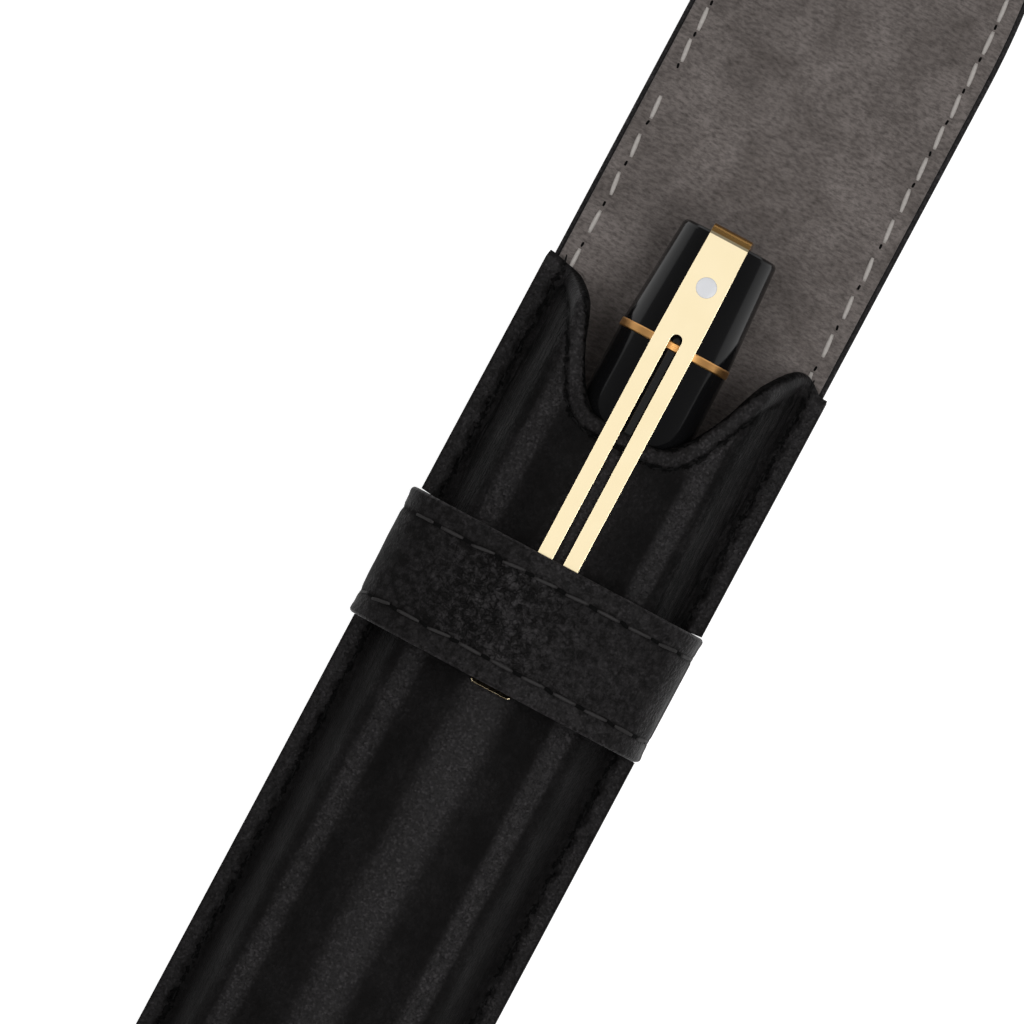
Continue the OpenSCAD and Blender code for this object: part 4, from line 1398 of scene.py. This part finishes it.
@dataclass
class Stitcher:
    """Lays stitches, and dark grains of painted shade for the needle holes, along lines on the leather with a
    node tree.
    """

    hole: Material
    hole_h: float = 0.14
    stitch_seed: int = 3
    hole_seed: int = 5

    def __post_init__(self) -> None:
        """Builds the node tree once."""
        self.tree = self.build_tree()

    def build_tree(self) -> GeometryNodeTree:
        """Builds the tree, which cuts a line into even steps and lays a grain of thread on each.

        Returns:
            The tree, with its sizes as named inputs.
        """
        tree = bpy.data.node_groups.new("sewn_seam", "GeometryNodeTree")
        sockets = {"Line": "Geometry", "Seed": "Int", "Thread": "Material"}
        sockets |= dict.fromkeys(("Pitch", "Length", "Width", "Height", "Lift", "Slant", "Sway"), "Float")
        for name, kind in sockets.items():
            tree.interface.new_socket(name, in_out="INPUT", socket_type="NodeSocket" + kind)
        tree.interface.new_socket("Seam", in_out="OUTPUT", socket_type="NodeSocketGeometry")
        add = partial(put, tree)
        given = add("NodeGroupInput").node.outputs
        curve = add("GeometryNodeMeshToCurve", [given["Line"]])
        even = add("GeometryNodeResampleCurve", {"Curve": curve, "Length": given["Pitch"]}, mode="LENGTH")
        facing = add("GeometryNodeInputNamedAttribute", {"Name": "facing"}, data_type="FLOAT_VECTOR")
        # each grain stands on the leather and points along the line, turned by its slant and its sway
        upright = add("FunctionNodeAlignRotationToVector", {"Vector": facing}, axis="Z")
        along = add("FunctionNodeAlignRotationToVector", {
            "Rotation": upright, "Vector": add("GeometryNodeInputTangent")}, axis="X", pivot_axis="Z")
        loose = add("FunctionNodeRandomValue", {"Seed": given["Seed"]}, 1, data_type="FLOAT")
        angle = add("ShaderNodeMath", [loose, 0.5], operation="SUBTRACT")
        angle = add("ShaderNodeMath", [angle, given["Sway"], given["Slant"]], operation="MULTIPLY_ADD")
        tilt = add("FunctionNodeEulerToRotation", [add("ShaderNodeCombineXYZ", {"Z": angle})])
        turned = add("FunctionNodeRotateRotation", {"Rotation": along, "Rotate By": tilt},
                     rotation_space="LOCAL")
        lift = add("ShaderNodeVectorMath", {0: facing, "Scale": given["Lift"]}, operation="SCALE")
        raised = add("GeometryNodeSetPosition", {"Geometry": even, "Offset": lift})
        # a grain is a ball drawn along x, with blunt ends
        ball = add("GeometryNodeMeshUVSphere", {"Segments": 10, "Rings": 9, "Radius": 0.5})
        lying = add("GeometryNodeTransform", {0: ball, "Rotation": (0, math.pi / 2, 0)})
        x, y, z = add("ShaderNodeSeparateXYZ", [add("GeometryNodeInputPosition")]).node.outputs
        longer = add("ShaderNodeMath", [x, 1.35], operation="MULTIPLY")
        blunt = add("ShaderNodeClamp", [longer, -0.5, 0.5])
        grain = add("GeometryNodeSetPosition", {
            "Geometry": lying, "Position": add("ShaderNodeCombineXYZ", [blunt, y, z])})
        size = add("ShaderNodeCombineXYZ", [given["Length"], given["Width"], given["Height"]])
        laid = add("GeometryNodeInstanceOnPoints", {
            "Points": raised, "Instance": grain, "Rotation": turned, "Scale": size})
        real = add("GeometryNodeRealizeInstances", [laid])
        smooth = add("GeometryNodeSetShadeSmooth", [real])
        dyed = add("GeometryNodeSetMaterial", {"Geometry": smooth, "Material": given["Thread"]})
        add("NodeGroupOutput", [dyed])
        return tree

    def lay(self, name: str, lines: list[np.ndarray], values: dict[str, float | Material]) -> Object:
        """Lays one kind of grain along several lines.

        Args:
            name: The piece's name.
            lines: Lines as rows of [x, y, z, normal x, normal y, normal z], in millimetres.
            values: The tree's inputs by name, with lengths in metres.

        Returns:
            The finished plain mesh.
        """
        rows = np.concatenate(lines)
        ends = set(np.cumsum([len(line) for line in lines]) - 1)
        mesh = bpy.data.meshes.new(name + "_line")
        edges = [(i, i + 1) for i in range(len(rows)) if i not in ends]
        mesh.from_pydata((rows[:, :3] * MM).tolist(), edges, [])
        facing = mesh.attributes.new("facing", "FLOAT_VECTOR", "POINT")
        facing.data.foreach_set("vector", rows[:, 3:].astype(np.float32).ravel())
        guide = link(name + "_line", mesh)
        modifier = guide.modifiers.new("seam", "NODES")
        modifier.node_group = self.tree
        for item in self.tree.interface.items_tree:
            if item.in_out == "INPUT" and item.name in values:
                modifier[item.identifier] = values[item.name]
        done = guide.evaluated_get(bpy.context.evaluated_depsgraph_get())
        plain = bpy.data.meshes.new_from_object(done)
        bpy.data.objects.remove(guide)
        plain.name = name
        return link(name, plain)

    def sew(self, seam: Seam, lines: list[np.ndarray], thread: Material) -> tuple[Object, Object]:
        """Sews a seam: its threads, and half a pitch on, dark grains of painted shade for its needle holes.

        Args:
            seam: The seam's sizes.
            lines: Lines on the surface, with their normals.
            thread: The thread's material.

        Returns:
            The threads and the holes.
        """
        pitch = {"Pitch": seam.pitch * MM}
        threads = self.lay(seam.name, [walk(line, seam.pitch, 0.0) for line in lines], pitch | {
            "Length": seam.stitch_l * MM, "Width": seam.thread_w * MM, "Height": seam.thread_h * MM,
            "Lift": -seam.sunk * MM, "Slant": seam.slant, "Sway": seam.sway, "Seed": self.stitch_seed,
            "Thread": thread})
        pierced = [walk(line, seam.pitch, seam.pitch / 2) for line in lines]
        holes = self.lay(seam.name + "_holes", pierced, pitch | {
            "Length": seam.hole_l * MM, "Width": seam.hole_w * MM, "Height": self.hole_h * MM, "Lift": 0.0,
            "Slant": -2 * seam.slant, "Sway": 4 * seam.sway, "Seed": self.hole_seed, "Thread": self.hole})
        return threads, holes


def walk(line: np.ndarray, pitch: float, offset: float) -> np.ndarray:
    """Cuts a line to a whole number of pitches.

    Args:
        line: Rows of point and normal.
        pitch: The length of a pitch.
        offset: The distance from the line's first point at which it starts.

    Returns:
        Rows of point and normal, four to a pitch.
    """
    run = run_along(line[:, :3])
    count = max(1, int((run[-1] - offset) / pitch + 0.01))
    return at_places(line, run, offset + pitch * np.arange(0, 4 * count + 1) / 4)


@dataclass
class Seams:
    """All the stitching on the sleeve."""

    palette: Palette
    flap_pitch: float = 3.95
    flap_inset: float = 2.35
    side_x: float = 15.75
    corner_r: float = 2.1
    bottom_in: float = 1.95
    waist_share: float = 0.24
    strap_groove: float = 0.16
    strap_from_z: float = 3.0

    def __post_init__(self) -> None:
        """Makes one stitcher for all seams."""
        self.stitcher = Stitcher(self.palette.hole)

    def flap_lines(self, surface: BVHTree, from_above: bool, stretch: Stretch) -> list[np.ndarray]:
        """The seam round the flap's edge, cut at the middle of the bridge.

        Args:
            surface: The surface that carries it.
            from_above: Whether that is an upper face.
            stretch: The stretch on one side of the cut.

        Returns:
            Its lines, as rows of point and normal.
        """
        side = evenly(SLEEVE.tongue_side(self.flap_inset), 0.4)
        # the stitches' middles keep half a pitch from the cut on both sides
        if stretch is LOW:
            low, high = CUT_Y - 5.5 * self.flap_pitch, CUT_Y - 0.5 * self.flap_pitch
        else:
            low, high = CUT_Y + 0.5 * self.flap_pitch, math.inf
        ends = [[[np.interp(y, side[:, 1], side[:, 0]), y]] for y in (low, high) if y < math.inf]
        part = side[(side[:, 1] > low + 0.05) & (side[:, 1] < high - 0.05)]
        part = np.concatenate([ends[0], part, *ends[1:]])
        other = part * [-1, 1]
        halves = [part, other] if stretch is LOW else [np.concatenate([part, other[::-1]])]
        return [drape(surface, half, from_above) for half in halves]

    def pouch_line(self, surface: BVHTree, from_above: bool) -> list[np.ndarray]:
        """The seam down one side of the pouch, along its bottom and up the other side.

        Args:
            surface: The surface that carries it.
            from_above: Whether that is the front.

        Returns:
            Its one line, as rows of point and normal.
        """
        half, r = self.side_x, self.corner_r
        bottom = self.bottom_in - SLEEVE.pouch_l + r
        path = [(half, 0.2 if from_above else -0.6), (half, bottom)]
        for a in np.linspace(0, math.pi / 2, 8):
            path.append((half - r + r * math.cos(a), bottom - r * math.sin(a)))
        path += [(-x, y) for x, y in reversed(path)]
        flat = evenly(np.array(path), 0.4)
        drawn_in = np.array([SLEEVE.waist_in(y) for y in flat[:, 1]]) * self.waist_share
        flat[:, 0] -= np.sign(flat[:, 0]) * drawn_in
        return [drape(surface, flat, from_above)]

    def strap_lines(self, strap: Strap) -> list[np.ndarray]:
        """The two seams along the strap's edges, over the arch and down its sides.

        Args:
            strap: The strap.

        Returns:
            Its lines, as rows of point and normal.
        """
        outline = strap.outline(0.4)
        outline = outline[np.argsort(np.arctan2(outline[:, 0], outline[:, 1] - 10))]
        outline = outline[outline[:, 1] > self.strap_from_z]
        depth = self.strap_groove
        return [np.array([[x - nx * depth, y, z - nz * depth, nx, 0, nz] for x, z, nx, nz in outline])
                for y in (SLEEVE.strap_hi - strap.seam_in, SLEEVE.strap_lo + strap.seam_in)]

    def build(self, front: Object, back: dict[str, Object], strap: Strap) -> None:
        """Sews every seam, and puts those of the pouch and the strap on the pouch.

        Args:
            front: The front panel's leather.
            back: The pieces of the back and flap, by name.
            strap: The strap.
        """
        p, sew = self.palette, self.stitcher.sew
        for stretch in (LOW, HIGH):
            stem = stretch.name
            inner = self.flap_lines(seat(back[stem + "_suede"]), True, stretch)
            outer = self.flap_lines(seat(back[stem + "_leather"]), False, stretch)
            grey = sew(Seam(stem + "_inner_stitches", self.flap_pitch, hole_l=0.6, hole_w=0.3),
                       inner, p.grey_thread)
            black = sew(Seam(stem + "_outer_stitches", self.flap_pitch), outer, p.black_thread)
            for obj in (*grey, *black):
                stretch.bend(obj)
        front_tree, back_tree = seat(front), seat(back["back_leather"])
        fine = partial(Seam, thread_w=0.26, thread_h=0.2, stitch_l=2.9, sunk=0.09)
        raised = Seam("strap_stitches", pitch=3.82, thread_w=0.46, thread_h=0.26, stitch_l=2.9, sunk=0.03,
                      slant=0.06, hole_l=1.15, hole_w=0.5)
        mouth = [drape(front_tree, evenly(MouthEdge().seam(), 0.3), True)]
        for seam, lines, thread in (
                (fine("pouch_side_stitches", hole_w=0.42), self.pouch_line(front_tree, True), p.black_thread),
                (fine("pouch_back_stitches"), self.pouch_line(back_tree, False), p.black_thread),
                (fine("mouth_stitches", hole_w=0.4), mouth, p.black_thread),
                (raised, self.strap_lines(strap), p.strap_thread)):
            for obj in sew(seam, lines, thread):
                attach(obj, Body.POUCH.value)


# ---- pen -------------------------------------------------------------------------------------


@dataclass
class Clip:
    """The pen's sprung clip: one pressed and slotted strip that turns over the cap's end."""

    palette: Palette
    thick: float = 0.9
    head_y: float = 11.93
    tip_y: float = -46.77
    root_z: float = 7.69
    top_z: float = 20.72
    dip: float = 1.5
    bend_r: float = 1.6
    head_half: float = 2.4
    slot_top_half: float = 2.6
    tip_half: float = 2.5
    tip_corner: float = 0.45
    tip_bar: float = 3.0
    tip_lift: float = 0.15
    tip_run: float = 1.6
    slot_y: float = -1.27
    slot_r: float = 0.7
    slot_half: float = 0.74
    slot_widening: float = 0.13
    edge_r: float = 0.13
    disc_x: float = 0.2
    disc_y: float = 4.9
    disc_r: float = 1.2

    def top_line(self, y: float) -> float:
        """Height of the clip's face: level over the pouch, dipping towards its head, with a lifted tip.

        Args:
            y: Place along the clip.

        Returns:
            The height.
        """
        t = max((y + SLEEVE.scoop_depth) / (self.head_y + SLEEVE.scoop_depth), 0.0)
        lift = max(self.tip_y + self.tip_run - y, 0.0) / self.tip_run
        return self.top_z - self.dip * t * t + self.tip_lift * lift ** 2

    def rows(self) -> list[tuple[float, float, bool]]:
        """The strip's outer face, from its root up over the bend to its tip.

        Returns:
            Rows of place, height, and whether they lie past the root.
        """
        bend_y, quarter = self.head_y - self.bend_r, np.linspace(0, math.pi / 2, 9)
        bend_z = self.top_line(bend_y) - self.bend_r
        rows = [(self.head_y, z, False) for z in np.linspace(self.root_z, bend_z, 22)]
        for a in quarter[1:]:
            rows.append((bend_y + self.bend_r * math.cos(a), bend_z + self.bend_r * math.sin(a), True))
        ys = [*np.linspace(bend_y, self.tip_y, 120)[1:], self.tip_y + self.tip_bar,
              self.tip_y + self.tip_bar + 0.02]
        ys += [self.slot_y - self.slot_r * (1 - math.cos(a)) for a in quarter]
        ys += [self.tip_y + 0.8 * (1 - math.sin(a)) for a in np.linspace(0, math.pi / 2, 8)]
        for y in sorted({round(float(y), 4) for y in ys}, reverse=True):
            if y < bend_y - 1e-4:
                rows.append((y, self.top_line(y), True))
        return rows

    def widths(self, y: float, on_arm: bool) -> tuple[float, float]:
        """Half width of the strip and of its slot.

        Args:
            y: Place along the strip.
            on_arm: Whether it is past the root.

        Returns:
            The two half widths.
        """
        if not on_arm:
            return self.head_half, 0.0
        above, below = self.head_y - self.slot_y, self.slot_y - self.tip_y
        down = self.slot_y - y
        if down < 0:
            wide = self.head_half + (self.slot_top_half - self.head_half) * (above + down) / above
            slot = 0.0
        else:
            wide = self.slot_top_half + (self.tip_half - self.slot_top_half) * down / below
            slot = self.slot_half + self.slot_widening * min(down / (below - self.tip_bar), 1)
            over = clamp(self.slot_r - down, 0, self.slot_r)
            slot = min(slot, math.sqrt(max(self.slot_r ** 2 - over ** 2, 0)))
        into = max(self.tip_y + self.tip_corner - y, 0)
        wide -= self.tip_corner - math.sqrt(max(self.tip_corner ** 2 - into ** 2, 0))
        return wide, slot

    def strip(self) -> bmesh.types.BMesh:
        """Makes the strip with its slot, as six columns of points on each face.

        Returns:
            The shape, in metres.
        """
        rows = self.rows()
        ahead = unit(np.gradient(np.array([row[:2] for row in rows]), axis=0))
        out = np.stack([-ahead[:, 1], ahead[:, 0]], axis=1)
        out *= np.sign(out[:, 0] + out[:, 1])[:, None]
        shape = bmesh.new()
        top, bottom = sheets = [], []
        for sheet, depth in zip(sheets, (0.0, self.thick)):
            for (y, z, on_arm), (out_y, out_z) in zip(rows, out):
                wide, slot = self.widths(y, on_arm)
                thin = depth * (1 - 0.5 * step_between(self.tip_y + self.tip_run, self.tip_y, y))
                xs = (-wide, -(wide + slot) / 2, -slot, slot, (wide + slot) / 2, wide)
                place = Vector((0, y - out_y * thin, z - out_z * thin))
                sheet.append([shape.verts.new((place + Vector((x, 0, 0))) * MM) for x in xs])
        last = len(rows) - 1
        cut = [self.tip_y + self.tip_bar + 0.01 < y < self.slot_y - 1e-6 for y, _, _ in rows]
        is_open = [a or b for a, b in zip(cut, cut[1:])]
        quads = [[sheet[j][k], sheet[j][k + 1], sheet[j + 1][k + 1], sheet[j + 1][k]]
                 for sheet in sheets for j in range(last) for k in range(5) if k != 2 or not is_open[j]]
        for j in range(last):
            for k in (0, 5, 2, 3) if is_open[j] else (0, 5):
                quads.append([top[j][k], top[j + 1][k], bottom[j + 1][k], bottom[j][k]])
            if j and is_open[j - 1] and not is_open[j]:
                quads.append([top[j][2], top[j][3], bottom[j][3], bottom[j][2]])
        quads += [[top[j][k], top[j][k + 1], bottom[j][k + 1], bottom[j][k]]
                  for j in (0, last) for k in range(5)]
        for quad in quads:
            shape.faces.new(quad)
        return shape

    def build(self) -> None:
        """Builds the strip with softened edges, and its disc, and puts both on the cap."""
        shape = self.strip()
        bmesh.ops.remove_doubles(shape, verts=shape.verts, dist=2e-6)
        bmesh.ops.recalc_face_normals(shape, faces=shape.faces)
        rims = [e for e in shape.edges if len(e.link_faces) == 2 and e.calc_face_angle(0) > math.radians(60)]
        bmesh.ops.bevel(shape, geom=rims, offset=self.edge_r * MM, segments=3, affect="EDGES", profile=0.5,
                        clamp_overlap=True)
        obj = finished("clip_pressed_strip", shape, (self.palette.gold, self.palette.gold_painted_shade), 9)
        # faces that do not face up take the deeper gold: painted shade
        for face in obj.data.polygons:
            face.material_index = 0 if abs(face.normal.z) > 0.9 else 1
        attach(obj, Body.CAP.value)
        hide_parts("clip")
        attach(self.disc(), Body.CAP.value)

    def disc(self) -> Object:
        """Makes the plain enamelled disc in the clip's head, a tenth of a millimetre proud of it.

        Returns:
            The disc.
        """
        r, rings = self.disc_r, []
        for radius, rise in ((r, -0.3), (r, 0.04), (r - 0.03, 0.08), (r - 0.1, 0.1), (r * 0.5, 0.11)):
            ring = []
            for a in (2 * math.pi * k / 48 for k in range(48)):
                x, y = self.disc_x + radius * math.cos(a), self.disc_y + radius * math.sin(a)
                ring.append((x, y, self.top_line(y) + rise))
            rings.append(ring)
        return solid("clip_disc_plain", *tube_of_rings(np.array(rings)), self.palette.enamel, 40)


def dress_node(name: str, material: Material) -> None:
    """Gives a solid of the frame its finish.

    Args:
        name: The solid's name.
        material: Its material.
    """
    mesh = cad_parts[name].data
    mesh.materials.clear()
    mesh.materials.append(material)


@dataclass
class Pen:
    """The pen that the sleeve carries."""

    palette: Palette

    def build(self) -> None:
        """Makes the clip and dresses the turned pieces, which keep their solids."""
        p = self.palette
        Clip(p).build()
        for material, names in (
                (p.resin, ("cap_tube", "cap_crown", "inner_cap", "barrel", "section")),
                (p.ring_gold_painted_shade, ("cap_ring",)), (p.gold, ("clip_stud", "nib")),
                (p.ebonite, ("feed", "converter_knob")), (p.clear, ("converter_tube",)),
                (p.steel, ("converter_piston",))):
            for name in names:
                dress_node(name, material)


# ---- studio ----------------------------------------------------------------------------------


@dataclass(frozen=True)
class Lamp:
    """A square soft lamp that faces the sleeve: its place and side in metres, and its power in watts."""

    name: str
    x: float
    z: float
    side: float
    watts: float

    def build(self) -> None:
        """Places the lamp."""
        data = bpy.data.lights.new(self.name, "AREA")
        data.shape, data.size, data.energy = "SQUARE", self.side, self.watts
        obj = link(self.name, data)
        obj.visible_camera = False
        obj.location = (self.x, 0, self.z)
        obj.rotation_euler = (Vector((0, -0.03, 0.01)) - obj.location).to_track_quat("-Z", "Y").to_euler()


@dataclass
class Studio:
    """A pale floor, soft lamps and a camera straight above the sleeve."""

    focus: Point = (-7.6, -27.8, 8.0)
    seen_mm: float = 116.4
    distance_mm: float = 2200.0
    sensor_mm: float = 36.0
    roll_deg: float = 28.1
    lean_deg: float = 1.6
    floor_half: float = 3.0
    floor_z: float = -0.0004
    floor_to_eye: float = 0.7
    floor_in_mirrors: float = 0.25
    surround: float = 0.24
    # the softbox overhead lies in the reflection of all flat metal, and the two others beside it
    lamps: tuple[Lamp, ...] = (
        Lamp("softbox_above", 0.0, 1.1, 1.3, 4.6),
        Lamp("key_right", 0.46, 1.16, 0.5, 5.2),
        Lamp("fill_left", -0.46, 1.16, 0.5, 2.4),
    )

    def camera(self) -> None:
        """Places the camera: almost straight above, a little to the right of the sleeve."""
        data = bpy.data.cameras.new("camera")
        data.sensor_width = self.sensor_mm
        data.lens = self.sensor_mm * self.distance_mm / self.seen_mm
        data.clip_start, data.clip_end = 0.01, 10.0
        obj = link("camera", data)
        lean = Matrix.Rotation(math.radians(self.lean_deg), 3, "Y")
        obj.location = (Vector(self.focus) + lean @ Vector((0, 0, self.distance_mm))) * MM
        obj.rotation_euler = (lean @ Matrix.Rotation(math.radians(self.roll_deg), 3, "Z")).to_euler()
        bpy.context.scene.camera = obj

    def floor(self) -> None:
        """Lays the floor: white to the eye and in reflections, and pale with a soft shadow to the light."""
        material, add = blank_material("floor_matt_white_paper")
        paper = add("ShaderNodeBsdfDiffuse", {"Color": linear("#e6e6e6")})
        ray = add("ShaderNodeLightPath").node.outputs
        through = add("ShaderNodeMath", [ray["Is Glossy Ray"], ray["Is Transmission Ray"]],
                      operation="ADD", use_clamp=True)
        weak = add("ShaderNodeMath", [through, self.floor_in_mirrors], operation="MULTIPLY")
        level = add("ShaderNodeMath", [ray["Is Camera Ray"], self.floor_to_eye, weak],
                    operation="MULTIPLY_ADD")
        glow = add("ShaderNodeEmission", {"Color": linear("#ffffff"), "Strength": level})
        add("ShaderNodeOutputMaterial", {"Surface": add("ShaderNodeAddShader", [paper, glow])})
        half, z = self.floor_half, self.floor_z
        mesh = bpy.data.meshes.new("floor")
        mesh.from_pydata([(-half, -half, z), (half, -half, z), (half, half, z), (-half, half, z)],
                         [], [(0, 1, 2, 3)])
        mesh.materials.append(material)
        link("floor", mesh)

    def world(self) -> None:
        """Sets a dim even surround that is white to the eye."""
        world = bpy.context.scene.world = bpy.data.worlds.new("studio")
        world.use_nodes = True
        world.node_tree.nodes.clear()
        add = partial(put, world.node_tree)
        dim, white = (add("ShaderNodeBackground", {"Color": linear("#ffffff"), "Strength": strength})
                      for strength in (self.surround, 1.0))
        to_eye = add("ShaderNodeLightPath", out="Is Camera Ray")
        add("ShaderNodeOutputWorld", {"Surface": add("ShaderNodeMixShader", [to_eye, dim, white])})

    def build(self) -> None:
        """Builds the whole studio."""
        bpy.context.scene.view_settings.view_transform = "Standard"
        self.camera()
        self.floor()
        self.world()
        for lamp in self.lamps:
            lamp.build()


def main() -> None:
    """Builds the sleeve, its pen and the studio in order."""
    logging.basicConfig(level=logging.INFO, format="%(message)s")
    palette = Palette()
    Studio().build()
    LOG.info("studio")
    front = FrontPanel(palette).build()
    LOG.info("front panel: %d faces", len(front.data.polygons))
    back = BackAndFlap(palette).build()
    for name, obj in back.items():
        LOG.info("%s: %d faces", name, len(obj.data.polygons))
    strap = Strap(palette)
    LOG.info("strap: %d faces", len(strap.build().data.polygons))
    Seams(palette).build(front, back, strap)
    LOG.info("seams")
    Pen(palette).build()
    dress_node("back_board", palette.board)
    LOG.info("pen and board")


if __name__ == "__main__":
    main()
